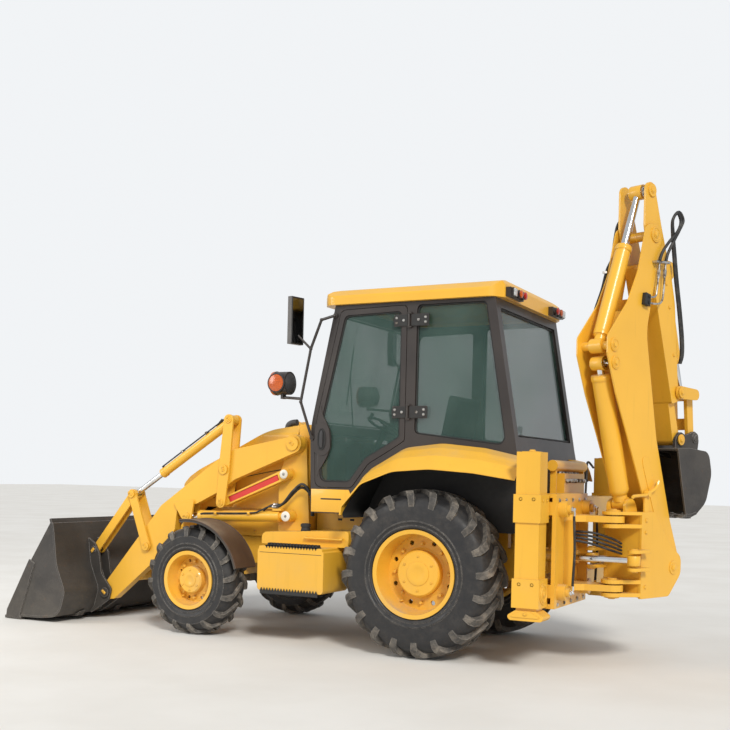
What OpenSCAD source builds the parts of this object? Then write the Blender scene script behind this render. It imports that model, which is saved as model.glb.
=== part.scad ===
// Backhoe loader, in millimetres, as separate named pieces in one frame: +X forward, +Y left, +Z up.
// The pieces are drawn from the ground point under the rear axle, then shifted to the machine's middle.

/* [Wheels] */
// Distance between the axles
wheelbase = 2200; // [2170:10:2230]
// Rear tyre's outer diameter
rear_tyre_diameter = 1350; // [1300:10:1370]
// Rear tyre's width
rear_tyre_width = 440; // [400:10:450]
// Rear rim's flange diameter
rear_rim_diameter = 700; // [640:10:720]
// Distance between the rear tyres' middles
rear_track = 1630; // [1610:5:1650]
// Front tyre's outer diameter
front_tyre_diameter = 970; // [930:10:980]
// Front tyre's width
front_tyre_width = 310; // [280:10:320]
// Front rim's flange diameter
front_rim_diameter = 510; // [490:5:530]
// Distance between the front tyres' middles
front_track = 1710; // [1700:5:1720]

/* [Cab] */
// Width over the cab's walls
cab_width = 1560; // [1540:5:1570]
// Height of the roof's crown over the ground
roof_height = 3060; // [3030:5:3100]
// How far the roof stands out past the walls
roof_overhang = 40; // [20:5:60]
// Thickness of the window panes
glass = 6; // [4:0.5:10]

/* [Body] */
// Bonnet's width
bonnet_width = 900; // [800:10:920]
// Length of the side tanks
tank_length = 640; // [560:10:660]
// Height of the side tanks
tank_height = 375; // [300:5:380]

/* [Loader] */
// Width of the loader's bucket
loader_bucket_width = 2270; // [2150:10:2400]
// Thickness of the loader bucket's shell
bucket_plate = 20; // [12:1:24]
// Outer diameter of the lift rams' barrels
lift_barrel_diameter = 100; // [90:1:100]
// Outer diameter of the tilt rams' barrels
tilt_barrel_diameter = 85; // [76:1:90]
// Diameter of the loader's piston rods
loader_rod_diameter = 50; // [40:1:56]

/* [Backhoe] */
// How far the carriage stands to the left of the middle
side_shift = 520; // [400:10:520]
// How far the backhoe is slewed to the right
slew_rest = 70; // [62:1:75]
// Width of the backhoe's bucket
hoe_bucket_width = 480; // [400:10:560]
// Outer diameter of the boom ram's barrel
boom_barrel_diameter = 150; // [130:1:154]
// Outer diameter of the dipper ram's barrel
dipper_barrel_diameter = 120; // [104:1:124]
// Outer diameter of the bucket ram's barrel
bucket_barrel_diameter = 90; // [80:1:96]
// Diameter of the backhoe's piston rods
hoe_rod_diameter = 60; // [50:1:64]

/* [Stabilisers] */
// Distance between the stabiliser legs' middles
leg_spacing = 2090; // [2084:1:2100]
// Height of the feet over the ground
foot_height = 400; // [380:5:420]
// Width of the feet
foot_width = 300; // [240:10:320]

/* [Hidden] */
$fn = 36;
shift = 1111;
fit = 0.5;                          // a bore's radius over its pin's
seat = 0.3;                         // a pane's gap in its frame
rear_z = rear_tyre_diameter / 2;
front_z = front_tyre_diameter / 2;
half_cab = cab_width / 2;
wall = 60;                          // the cab wall's depth
half_bonnet = bonnet_width / 2;
eave = roof_height - 185;            // the roof's lower edge
rail_in = 330;
rail_out = 400;

// Loader, side view [x, z]
arm_pivot = [1360, 1710];
lever_pivot = [2070, 1470];
lever_foot = [2100, 1170];
lever_head = [2030, 1920];
link_pivot = [1440, 1440];
lift_base = [1410, 1070];
lift_eye = [2480, 1035];
front_pivot = [2940, 730];
front_head = [3120, 1220];
bucket_top = [3570, 670];
bucket_pivot = [3410, 264];
arm_mid = 600;
arm_in = 555;
arm_out = 645;

// Backhoe, in its own plane [outward, z]
slew_x = -1450;
slew_reach = 190;                   // slew lugs to either side of the slew pin
foot_pin = [578, 775];
boom_ram_base = [100, 1275];
boom_ram_eye = [-225, 2330];
dipper_ram_base = [-245, 2460];
dipper_pin = [267, 3360];
dipper_ram_eye = [232, 3700];
hoe_bucket_pin = [721, 1790];
tip_pivot = [675, 2166];
tip_pin = [905, 2162];
tip_bucket_pin = [940, 1813];
bucket_ram_base = [600, 3144];

// Fender's top, side view [x, z, corner radius]
fender_line = [[660, 1130, 0], [655, 1230, 60], [480, 1520, 160], [200, 1680, 260], [-130, 1718, 500],
               [-500, 1682, 500], [-840, 1610, 0]];

yellow = [0.93, 0.66, 0.13];
dark = [0.16, 0.15, 0.15];
steel = [0.75, 0.75, 0.77];
rubber = [0.09, 0.09, 0.09];
pane = [0.45, 0.6, 0.55, 0.5];

// ---- Shared shapes ----
function unit(v) = v / norm(v);
function dir(a) = [cos(a), sin(a)];
function flat(p) = [p[0], p[1]];
function heading(p, q) = atan2(q[1] - p[1], q[0] - p[0]);
function arc(c, r, a0, a1, n = 10) = [for (i = [0:n]) flat(c) + r * dir(a0 + (a1 - a0) * i / n)];
function corner(a, b, c, r, n) = r <= 0 ? [b] :
    let (u = unit(a - b), w = unit(c - b), half = acos(u * w) / 2, m = b + unit(u + w) * r / sin(half),
         s = b + u * r / tan(half) - m, e = b + w * r / tan(half) - m,
         a0 = atan2(s[1], s[0]), turn = atan2(s[0] * e[1] - s[1] * e[0], s * e))
    [for (i = [0:n]) m + r * dir(a0 + turn * i / n)];
function rounded(p, n = 4) = [for (i = [0:len(p) - 1])
    each corner(flat(p[(i + len(p) - 1) % len(p)]), flat(p[i]), flat(p[(i + 1) % len(p)]),
                len(p[i]) > 2 ? p[i][2] : 0, n)];
function open_line(p, n = 4) = [for (i = [0:len(p) - 1])
    each (i == 0 || i == len(p) - 1 ? [flat(p[i])] :
          corner(flat(p[i - 1]), flat(p[i]), flat(p[i + 1]), p[i][2], n))];
function capsule(p, rp, q, rq) = let (a = heading(p, q), b = acos((rp - rq) / norm(q - p)))
    concat(arc(p, rp, a + b, a + 360 - b, 14), arc(q, rq, a - b, a + b, 14));
// A line set off to its left by t
function offset_line(l, t) = [for (i = [0:len(l) - 1])
    let (d = unit(l[min(i + 1, len(l) - 1)] - l[max(i - 1, 0)])) l[i] + t * [-d[1], d[0]]];
function reversed(l) = [for (i = [len(l) - 1:-1:0]) l[i]];
// How far the fender has dropped at a distance from the middle
function fender_drop(y) = y < 780 ? 0 : y < 870 ? (y - 780) * 0.4 : y < 960 ? 36 + (y - 870) * 0.72 :
                          100 + (y - 960) * 1.15;

module both() {
    children();
    mirror([0, 1, 0]) children();
}
module side_plate(outline, y0, y1)
    translate([0, y1, 0]) rotate([90, 0, 0]) linear_extrude(y1 - y0) polygon(outline);
module pin(p, r, y0, y1)
    translate([p[0], y0, p[1]]) rotate([-90, 0, 0]) cylinder(r = r, h = y1 - y0);
module block(x0, x1, y0, y1, z0, z1)
    translate([x0, y0, z0]) cube([x1 - x0, y1 - y0, z1 - z0]);
module bar(p, q, r)
    translate(p) rotate([0, acos((q - p)[2] / norm(q - p)), atan2((q - p)[1], (q - p)[0])])
        cylinder(r = r, h = norm(q - p));
// A skin between a grid of outer points and a like grid of inner ones, closed round its edges
module skin(outer, inner) {
    n = len(outer[0]);
    m = len(outer);
    k = m * n;
    function two(a, b, c, d) = [[a, b, c], [a, c, d]];
    polyhedron(
        points = concat([for (r = outer) each r], [for (r = inner) each r]),
        faces = concat(
            [for (j = [0:m - 2]) for (i = [0:n - 2])
                each two(j * n + i, j * n + i + 1, (j + 1) * n + i + 1, (j + 1) * n + i)],
            [for (j = [0:m - 2]) for (i = [0:n - 2])
                each two(k + j * n + i, k + (j + 1) * n + i, k + (j + 1) * n + i + 1, k + j * n + i + 1)],
            [for (i = [0:n - 2]) each two(i, k + i, k + i + 1, i + 1)],
            [for (i = [0:n - 2]) each two(k - n + i, k - n + i + 1, 2 * k - n + i + 1, 2 * k - n + i)],
            [for (j = [0:m - 2]) each two(j * n, (j + 1) * n, k + (j + 1) * n, k + j * n)],
            [for (j = [0:m - 2]) each two(j * n + n - 1, k + j * n + n - 1, k + (j + 1) * n + n - 1,
                                          (j + 1) * n + n - 1)]));
}
// A ram's barrel from its base pin at p towards q: its length, radius, bore and eye
module barrel(p, q, y, long, r, bore, eye, eye_width, pin_r, hollow)
    translate([p[0], y, p[1]]) rotate([0, -heading(p, q), 0]) difference() {
        union() {
            pin([0, 0], eye, -eye_width / 2, eye_width / 2);
            translate([eye * 0.5, 0, 0]) rotate([0, 90, 0]) cylinder(r = r * 0.72, h = hollow - eye * 0.5);
            translate([hollow - 25, 0, 0]) rotate([0, 90, 0]) cylinder(r = r, h = long - hollow + 25);
            translate([long - 46, 0, 0]) rotate([0, 90, 0]) cylinder(r = r + 4, h = 40);
        }
        pin([0, 0], pin_r + fit, -eye_width, eye_width);
        translate([hollow, 0, 0]) rotate([0, 90, 0]) cylinder(r = bore + fit, h = long);
    }
// A ram's rod: its eye stands at q, and its tail runs back towards p
module rod(p, q, y, tail, r, eye, eye_width, hole)
    translate([q[0], y, q[1]]) rotate([0, -heading(p, q), 0]) difference() {
        union() {
            pin([0, 0], eye, -eye_width / 2, eye_width / 2);
            translate([-tail, 0, 0]) rotate([0, 90, 0]) cylinder(r = r, h = tail - eye * 0.6);
        }
        pin([0, 0], hole, -eye_width, eye_width);
    }
// Shifts a shape from the rear axle's ground point to the machine's middle
module place() translate([-shift, 0, 0]) children();
// Puts a shape drawn [outward, sideways, z] into the backhoe's plane
module hoe()
    translate([slew_x - shift, side_shift, 0]) rotate([0, 0, 180 + slew_rest]) children();
module hoe_sides(y) for (s = [-1, 1]) translate([0, s * y, 0]) children();

// ---- Frame ----
module chassis() place() color(yellow) {
    tower = rounded([[1215, 640, 20], [1285, 1775, 60], [1420, 1800, 55], [1560, 1420, 60],
                     [1555, 960, 60], [1500, 640, 20]]);
    both() {
        side_plate([[-690, 620], [-240, 620], [-200, 800], [200, 800], [240, 620], [2640, 620],
                    [2640, 880], [-690, 880]], rail_in, rail_out);
        side_plate(tower, 515, 545);
        block(1240, 1500, rail_out - 1, 516, 660, 850);
        block(1250, 1270, 440, 516, 900, 1740);
        for (x = [-560, 820]) block(x, x + 120, rail_in, rail_out, 879, 1120);
        // Tower pins with their heads: pin, radius, head radius, length
        for (p = [[arm_pivot, 30, 60, 650], [link_pivot, 25, 42, 645], [lift_base, 30, 46, 648]]) {
            pin(p[0], p[1], 544, p[3] + 1);
            pin(p[0], p[2], p[3], p[3] + 12);
        }
        for (p = [arm_pivot, link_pivot, lift_base]) pin(p, 56, 505, 549);
        block(wheelbase - 160, wheelbase - 80, 0, rail_in + 2, front_z + 15, 790);
        block(wheelbase + 80, wheelbase + 160, 0, rail_in + 2, front_z + 15, 790);
    }
    // Cross members: rear, middle, front
    for (x = [-670, 620, 2560]) block(x, x + 60, -rail_in - 1, rail_in + 1, 650, 860);
    difference() {
        block(1250, 1270, -450, 450, 860, 1760);
        block(1200, 1300, -215, 215, 800, 1110);
    }
    // Pin of the front axle
    translate([wheelbase - 161, 0, front_z + 70]) rotate([0, 90, 0]) cylinder(r = 32, h = 322);
    for (s = [-1, 1]) translate([wheelbase + s * 120, 0, front_z + 70]) rotate([0, 90, 0])
        cylinder(r = 75, h = 80, center = true);
    // Nose
    block(2600, 2662, -rail_out, rail_out, 560, 900);
    side_plate(rounded([[2660, 520, 10], [2780, 560, 40], [2780, 860, 40], [2660, 900, 10]]), -300, 300);
    // Cowl between the bonnet and the cab
    difference() {
        side_plate(rounded([[1120, 1150], [1120, 1830, 20], [1200, 1880, 60], [1413, 1890, 10],
                            [1413, 1150]]), -half_bonnet, half_bonnet);
        side_plate(rounded([[1100, 1100], [1100, 1815, 20], [1198, 1862, 50], [1440, 1872, 10],
                            [1440, 1100]]), -half_bonnet + 20, half_bonnet - 20);
    }
    // Rod of the bonnet's hinge
    pin([1450, 1866], 7, -300, 300);
    for (s = [-1, 1]) block(1405, 1452, s * 290 - 8, s * 290 + 8, 1861, 1874);
}

module engine() place() color([0.2, 0.2, 0.21]) {
    block(1480, 2450, -250, 250, 810, 1420);
    block(1500, 1950, -180, 180, 640, 811);
    block(860, 1481, -190, 190, 640, 1000);
    for (x = [1600, 2300]) block(x, x + 100, -rail_in, rail_in, 811, 870);
    block(2449, 2540, -360, 360, 900, 1380);
}

module bonnet_form(g) intersection() {
    side_plate(rounded([[1430 - 3 * g, 1120 - 3 * g], [1430 - 3 * g, 1890 - g], [1720, 1845 - g, 400],
                        [2300, 1560 - g, 600], [2640, 1400 - g, 200], [2760 - g, 1310 - g, 70],
                        [2775 - g, 905 - 3 * g], [2560, 905 - 3 * g], [2400, 1120 - 3 * g]], 6),
               -half_bonnet + g, half_bonnet - g);
    translate([0, 0, 850]) linear_extrude(1200) polygon(rounded(
        [[1300, -half_bonnet + g], [2500, -half_bonnet + g, 300], [2780 - g, -350 + g, 110],
         [2780 - g, 350 - g, 110], [2500, half_bonnet - g, 300], [1300, half_bonnet - g]], 6));
    translate([1300, 0, 0]) rotate([90, 0, 90]) linear_extrude(1600) polygon(rounded(
        [[-half_bonnet + g, 850], [-half_bonnet + g, 1800 - g, 60], [-half_bonnet + 110, 1900 - g, 90],
         [half_bonnet - 110, 1900 - g, 90], [half_bonnet - g, 1800 - g, 60], [half_bonnet - g, 850]], 6));
}
module bonnet() place() color(yellow) difference() {
    union() {
        difference() {
            bonnet_form(0);
            bonnet_form(8);
        }
        for (s = [-1, 1]) difference() {
            union() {
                pin([1450, 1866], 13, s * 250 - 20, s * 250 + 20);
                block(1440, 1460, s * 250 - 20, s * 250 + 20, 1870, 1884);
            }
            pin([1450, 1866], 7 + fit, s * 250 - 30, s * 250 + 30);
        }
    }
    // Notches round the hinge's lugs
    for (s = [-1, 1]) block(1400, 1466, s * 290 - 14, s * 290 + 14, 1840, 1900);
    // Grille
    for (i = [0:5]) block(2700, 2800, -260, 260, 950 + 56 * i, 950 + 56 * i + 30);
    // Side louvres
    for (i = [0:5]) block(2080 + 60 * i, 2114 + 60 * i, -600, 600, 1200, 1400);
    // Hole for the exhaust pipe
    translate([1700, 180, 1700]) cylinder(r = 52, h = 300);
}

// ---- Cab ----
cab_line = [[885, eave], [1105, 1830, 900], [1090, 1335, 80], [1085, 1120], [-720, 1120], [-765, 1600, 40],
            [-745, 1700, 60], [-545, eave]];
cab_inner = [[822, eave + 115], [1045, 1830, 850], [1030, 1335, 60], [1025, 1160], [-660, 1160],
             [-700, 1600, 30], [-684, 1700, 60], [-466, eave + 115]];
door_line = [[824, eave - 45, 50], [1062, 1830, 900], [1046, 1340, 60], [700, 1340, 60], [545, 1545, 160],
             [330, 1668, 200], [215, 1740, 30], [215, eave - 30, 40]];
rear_side_line = [[125, eave - 30, 40], [128, 1795, 40], [-668, 1702, 60], [-478, eave - 30, 40]];
function grown(l, g) = let (n = len(l)) [for (i = [0:n - 1])
    let (a = flat(l[(i + n - 1) % n]), b = flat(l[i]), c = flat(l[(i + 1) % n]),
         u = unit(b - a), w = unit(c - b), nu = [-u[1], u[0]], nw = [-w[1], w[0]],
         d = b + g * (nu + nw) / (1 + nu * nw)) [d[0], d[1], l[i][2]]];

module under_fender(y0, y1, g)
    side_plate(concat(offset_line(open_line(fender_line), g), [[-876, 1000], [700, 1000]]), y0, y1);

module cab_frame() place() color([0.17, 0.15, 0.14]) {
    cab_shell();
    cab_hinges();
}
module cab_shell() difference() {
    union() {
        difference() {
            side_plate(rounded(cab_line), -half_cab, half_cab);
            side_plate(rounded(cab_inner), -half_cab + wall, half_cab - wall);
            // The fenders take the walls' place
            both() under_fender(559, half_cab + 20, -seat);
        }
    }
    // Door on the left, fixed window on the right
    side_plate(rounded(grown(door_line, 5)), half_cab - wall - 20, half_cab + 20);
    side_plate(rounded(grown(door_line, -25)), -half_cab - 20, -half_cab + wall + 20);
    both() side_plate(rounded(rear_side_line), half_cab - wall - 20, half_cab + 20);
    // Windscreen, lower windscreen and rear window
    block(700, 1300, -half_cab + 90, half_cab - 90, 1880, eave - 75);
    block(900, 1300, -half_cab + 90, half_cab - 90, 1260, 1800);
    block(-900, -350, -half_cab + 90, half_cab - 90, 1775, eave - 75);
}
hinge_z = [1970, eave - 155];
module cab_hinges() for (z = hinge_z) {
    translate([190, half_cab + 15, z - 65]) cylinder(r = 5, h = 130);
    block(15, 178, half_cab - 1, half_cab + 9, z - 50, z + 50);
    for (s = [-1, 1]) block(165, 200, half_cab - 4, half_cab + 24, z + s * 57 - 6, z + s * 57 + 6);
}

module roof_form(g) intersection() {
    side_plate(rounded([[1000 - g, eave - g], [1010 - g, eave + 60 - g, 30], [930, roof_height - 62 - g, 50],
                        [400, roof_height - g, 500], [-260, roof_height - g, 400],
                        [-560, roof_height - 26 - g, 60], [-600 + g, eave + 110 - g, 40], [-600 + g, eave - g]], 6),
               -900, 900);
    translate([0, 0, eave - 75]) linear_extrude(500) polygon(rounded(
        [[1020 - g, -700 + g, 60], [940, -half_cab - roof_overhang + g, 120],
         [-530, -half_cab - roof_overhang + g, 100], [-605 + g, -700 + g, 60],
         [-605 + g, 700 - g, 60], [-530, half_cab + roof_overhang - g, 100],
         [940, half_cab + roof_overhang - g, 120], [1020 - g, 700 - g, 60]], 6));
    translate([-700, 0, 0]) rotate([90, 0, 90]) linear_extrude(1900) polygon(rounded(
        [[-half_cab - roof_overhang + g, eave - 15 - g], [-half_cab - roof_overhang + g, eave + 70 - g, 30],
         [-half_cab + 40, roof_height - 55 - g, 60], [-400, roof_height + 2 - g, 400],
         [400, roof_height + 2 - g, 400], [half_cab - 40, roof_height - 55 - g, 60],
         [half_cab + roof_overhang - g, eave + 70 - g, 30], [half_cab + roof_overhang - g, eave - 15 - g]], 6));
}
module cab_roof() place() color(yellow) difference() {
    roof_form(0);
    difference() {
        roof_form(30);
        // A rim over the cab's walls carries the roof
        difference() {
            block(-700, 1100, -half_cab - 2, half_cab + 2, eave - 75, eave + 30);
            block(-450, 800, -half_cab + 70, half_cab - 70, eave - 175, eave + 75);
        }
    }
}

// A pane across the machine, leaning from one point to another
module cross_pane(p, q, half) let (d = unit(q - p), n = [-d[1], d[0]] * glass / 2)
    side_plate([p - n, q - n, q + n, p + n], -half, half);
module cab_glass() place() color(pane) {
    half = half_cab - 90 - seat;
    cross_pane([1055, 1880 + 4], [866, eave - 79], half);
    cross_pane([1058, 1260 + 1], [1069, 1800 - 1], half);
    cross_pane([-702, 1775 + 4], [-530, eave - 79], half);
    both() side_plate(rounded(grown(rear_side_line, -seat)), half_cab - 30 - glass / 2, half_cab - 30 + glass / 2);
    side_plate(rounded(grown(door_line, -25 - seat)), -half_cab + 30 - glass / 2, -half_cab + 30 + glass / 2);
}

module door() place() color([0.17, 0.15, 0.14]) {
    difference() {
        side_plate(rounded(door_line), half_cab - 42, half_cab + 2);
        side_plate(rounded(grown(door_line, -44)), half_cab - 60, half_cab + 20);
    }
    // Latch bulge on the front edge
    intersection() {
        side_plate(capsule([1000, 1800], 85, [990, 1690], 85), half_cab - 42, half_cab + 10);
        side_plate(rounded(door_line), half_cab - 60, half_cab + 20);
    }
    // Hinge plates and their barrels
    for (z = hinge_z) difference() {
        union() {
            block(190, 325, half_cab + 1, half_cab + 9, z - 50, z + 50);
            translate([190, half_cab + 15, z - 50]) cylinder(r = 11, h = 100);
        }
        translate([190, half_cab + 15, z - 60]) cylinder(r = 5 + fit, h = 120);
    }
}
module door_glass() place() color(pane) difference() {
    side_plate(rounded(grown(door_line, -44 - seat)), half_cab - 20 - glass / 2, half_cab - 20 + glass / 2);
    side_plate(capsule([1000, 1800], 85 + seat, [990, 1690], 85 + seat), half_cab - 60, half_cab + 10);
}

module cab_interior() place() color([0.13, 0.13, 0.14]) {
    // Seat, standing on the floor
    block(60, 460, -250, 250, 1160, 1290);
    translate([100, -120, 1289]) cube([300, 240, 200]);
    side_plate(rounded([[20, 1480, 30], [540, 1500, 40], [550, 1600, 40], [170, 1590, 60], [70, 2150, 40],
                        [-40, 2130, 40]]), -250, 250);
    // Dash, wheel column and wheel
    difference() {
        side_plate(rounded([[840, 1160], [1000, 1160], [1010, 1700, 30], [880, 1740, 40]]), -320, 320);
        block(800, 990, -180, 180, 1100, 1500);
    }
    translate([890, 0, 1660]) rotate([0, -30, 0]) {
        cylinder(r = 28, h = 250);
        translate([0, 0, 240]) difference() {
            cylinder(r = 200, h = 26);
            translate([0, 0, -1]) cylinder(r = 176, h = 28);
        }
        translate([-180, -16, 244]) cube([360, 32, 16]);
        translate([-16, -180, 244]) cube([32, 360, 16]);
    }
    // Rear console with two levers
    side_plate(rounded([[-600, 1160], [-420, 1160], [-400, 1560, 30], [-440, 1600, 20], [-650, 1600, 20]]),
               -350, 350);
    for (s = [-1, 1]) translate([-500, s * 160, 1590]) rotate([0, 12, 0]) {
        cylinder(r = 9, h = 260);
        translate([0, 0, 250]) cylinder(r = 24, h = 60);
    }
}

// ---- Fenders, tanks, lamps ----
module fenders() place() color(yellow) both() {
    top = open_line(fender_line);
    under = offset_line(top, 14);
    rows = [576 + seat, 780, 830, 870, 915, 960, 1005, 1050];
    skin([for (y = rows) [for (q = top) [q[0], y, q[1] - fender_drop(y) * (q[1] - 1100) / 618]]],
         [for (y = rows) [for (q = under) [q[0], y, q[1] - fender_drop(y) * (q[1] - 1100) / 618]]]);
    // Inner panel, standing on the cab floor's edge line
    difference() {
        under_fender(560, 576, 0);
        block(-1000, 1000, 500, 600, 900, 1120);
    }
    // Stay to the rear frame
    block(-878, -848, 576 + seat, 640, 1150, 1580);
}

module side_boxes() place() color(yellow) both() {
    x1 = 1430;
    x0 = x1 - tank_length;
    z0 = 835 - tank_height;
    side_plate(rounded([[x0, z0, 30], [x1, z0, 30], [x1, 800, 8], [x1 - 12, 812, 6], [x1 - 12, 835, 12],
                        [x0 + 12, 835, 12], [x0 + 12, 812, 6], [x0, 800, 8]]), 640, 1060);
    // Upper tank under the cab's door
    side_plate(rounded([[700, 834, 6], [1200, 834, 6], [1200, 955, 50], [700, 975, 30]]), rail_out + 2, 800);
    side_plate(rounded([[1150, 834, 6], [1560, 834, 6], [1560, 935, 50], [1150, 955]]), 549, 800);
    // Step plate over the box and grips
    for (x = [x0 + 60, x0 + 150]) block(x, x + 60, rail_out, 642, 760, 834);
}

module lamps_mirrors() place() {
    // Mirror's tube, down the cab's front corner
    tube = [[880, half_cab + 12, eave - 85], [974, 860, eave - 127], [1072, 860, 2507], [1160, 860, 2059],
            [1085, half_cab + 12, 1755]];
    color(dark) for (s = [1, -1]) {
        for (i = [0:3]) bar([tube[i][0], s * tube[i][1], tube[i][2]],
                            [tube[i + 1][0], s * tube[i + 1][1], tube[i + 1][2]], 12);
        for (p = [tube[1], tube[2], tube[3], [1189, 925, 2640]]) translate([p[0], s * p[1], p[2]]) sphere(r = 15);
        for (p = [[880, eave - 85], [1085, 1755]]) translate([0, s * (half_cab + 7), 0]) pin(p, 20, -7, 7);
        bar([1072, s * 860, 2507], [1189, s * 925, 2640], 10);
        translate([1189, s * 925, 2740]) rotate([0, 0, s * -12]) cube([44, 150, 400], center = true);
        // Work lamp on its bracket
        bar([1155, s * 860, 2085], [1385, s * 800, 2105], 12);
        block(1360, 1385, s * 800 - 25, s * 800 + 25, 2090, 2150);
        translate([1370, s * 800, 2225]) rotate([0, 90, 0]) cylinder(r = 100, h = 130, center = true);
        // Rear lamps under the roof's edge
        block(-640, -600 - seat, s * 535 - 155, s * 535 + 155, eave + 11, eave + 85);
        for (y = [430, 530]) translate([-658, s * y, eave + 48]) rotate([0, 90, 0]) cylinder(r = 34, h = 30);
        block(-658, -639, s * 635 - 36, s * 635 + 36, eave + 14, eave + 82);
    }
    color([0.9, 0.45, 0.08]) for (s = [1, -1])
        translate([1442, s * 800, 2225]) rotate([0, 90, 0]) cylinder(r = 84, h = 24, center = true);
}

// ---- Axles and wheels ----
module axles() place() color([0.2, 0.19, 0.18]) {
    translate([0, -545, rear_z]) rotate([-90, 0, 0]) cylinder(r = 105, h = 1090);
    translate([0, 0, rear_z]) sphere(r = 190, $fn = 40);
    both() {
        translate([0, 540, rear_z]) rotate([-90, 0, 0]) cylinder(r = 150, h = 30);
        translate([0, 569, rear_z]) rotate([-90, 0, 0]) cylinder(r = 50, h = rear_track / 2 - 569);
        // Saddle under the rail
        block(-90, 90, rail_in + 4, rail_out - 4, rear_z, 800);
        // Front beam's end and kingpin
        translate([wheelbase, 670, front_z - 55]) cylinder(r = 45, h = 110);
        translate([wheelbase, 670, front_z - 95]) cylinder(r = 24, h = 190);
    }
    difference() {
        union() {
            block(wheelbase - 60, wheelbase + 60, -650, 650, front_z - 50, front_z + 50);
            block(wheelbase - 72, wheelbase + 72, -110, 110, front_z - 70, front_z + 130);
        }
        translate([wheelbase - 100, 0, front_z + 70]) rotate([0, 90, 0]) cylinder(r = 32 + fit, h = 200);
    }
}

module knuckle() {
    color([0.2, 0.19, 0.18]) difference() {
        union() {
            for (z = [front_z - 93, front_z + 62]) translate([wheelbase, 0, z]) linear_extrude(31)
                polygon(concat(arc([0, 670], 50, 180, 360, 12), [[50, 700], [40, 752], [-40, 752], [-50, 700]]));
            block(wheelbase - 60, wheelbase + 60, 728, 752, front_z - 93, front_z + 93);
            translate([wheelbase, 750, front_z]) rotate([-90, 0, 0]) cylinder(r = 38, h = front_track / 2 - 750);
            // Stay to the mudguard
            block(wheelbase - 34, wheelbase + 34, 674, 690, front_z + 62, front_z + 505);
            block(wheelbase - 34, wheelbase + 34, 674, 780, front_z + 503, front_z + 531);
        }
        translate([wheelbase, 670, front_z - 200]) cylinder(r = 24 + fit, h = 400);
    }
    // Mudguard over the tyre's rear
    color(dark) difference() {
        side_plate(concat(arc([wheelbase, front_z], 535, 80, 166, 16),
                          reversed(arc([wheelbase, front_z], 514, 80, 166, 16))), 712, 1016);
        side_plate(concat(arc([wheelbase, front_z], 529, 70, 176, 16),
                          reversed(arc([wheelbase, front_z], 500, 70, 176, 16))), 700, 1010);
    }
}
module knuckle_left() place() knuckle();
module knuckle_right() place() mirror([0, 1, 0]) knuckle();

// Rim turned about the wheel's axis, its outer face towards +Z here
module rim(x, y, z, r, w, hub, dish, stub) color(yellow)
    translate([x, y, z]) rotate([-90, 0, 0]) difference() {
        union() {
            rotate_extrude($fn = 60) polygon([
                [r - 30, -w / 2 + 14], [r + 4, -w / 2 + 10], [r + 4, -w / 2 + 22], [r - 16, -w / 2 + 26],
                [r - 16, w / 2 - 26], [r + 4, w / 2 - 22], [r + 4, w / 2 - 10], [r - 30, w / 2 - 14],
                [r - 34, w / 2 - 60], [r - 52, dish + 20], [hub + 20, dish + 26], [hub, dish + 34],
                [hub, dish + 100], [hub - 12, dish + 112], [0, dish + 112],
                [0, dish], [r - 60, dish], [r - 34, dish - 20]]);
        }
        translate([0, 0, -w]) cylinder(r = stub + fit, h = w + 1);
        for (i = [0:7]) rotate([0, 0, 45 * i + 22.5]) translate([(hub + r) / 2 - 12, 0, -w])
            cylinder(r = r * 0.055, h = 2 * w, $fn = 20);
    }
// Tyre of flat faces, its outline stepped up over slanting bars that alternate from side to side
module tyre(x, y, z, r, w, rim_r, bars, bar_height) {
    h = w / 2;
    low = r - bar_height;
    // Half outline: radius between the bars, radius on a bar, distance out, lead in bar pitches
    half = [[(rim_r - 16) / cos(0.21 * 360 / bars) + seat, 0, h - 32, 0], [rim_r + 60, 0, h - 2, 0],
            [r - 80, 0, h - 4, 0], [low - 4, r, h - 50, 0.12], [low, r, 8, 0.75]];
    steps = [0.05, 0.43, 0.57, 0.95];
    phase = 180 - (steps[0] + 0.12) * 360 / bars;
    n = 4 * bars;
    m = 10;
    function spot(i, k) = let (left = k < 5, q = half[left ? k : 9 - k], on = (i % 4 < 2) == left,
        a = 360 / bars * (floor(i / 4) + steps[i % 4] + q[3]) + phase, d = on && q[1] > 0 ? q[1] : q[0])
        [d * sin(a), (left ? 1 : -1) * q[2], d * cos(a)];
    color(rubber) translate([x, y, z]) polyhedron(
        points = [for (i = [0:n - 1]) for (k = [0:m - 1]) spot(i, k)],
        faces = [for (i = [0:n - 1]) for (k = [0:m - 1])
            let (a = i * m + k, b = i * m + (k + 1) % m, c = (i + 1) % n * m + (k + 1) % m, d = (i + 1) % n * m + k)
            each [[a, c, b], [a, d, c]]]);
}

module rear_rim() rim(0, rear_track / 2, rear_z, rear_rim_diameter / 2, rear_tyre_width, 185, 0, 50);
module front_rim() rim(wheelbase, front_track / 2, front_z, front_rim_diameter / 2, front_tyre_width, 120, 0, 38);
module rear_tyre() tyre(0, rear_track / 2, rear_z, rear_z, rear_tyre_width, rear_rim_diameter / 2, 20, 34);
module front_tyre()
    tyre(wheelbase, front_track / 2, front_z, front_z, front_tyre_width, front_rim_diameter / 2, 16, 25);
module rim_rear_left() place() rear_rim();
module rim_rear_right() place() mirror([0, 1, 0]) rear_rim();
module rim_front_left() place() front_rim();
module rim_front_right() place() mirror([0, 1, 0]) front_rim();
module tyre_rear_left() place() rear_tyre();
module tyre_rear_right() place() mirror([0, 1, 0]) rear_tyre();
module tyre_front_left() place() front_tyre();
module tyre_front_right() place() mirror([0, 1, 0]) front_tyre();

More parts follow.
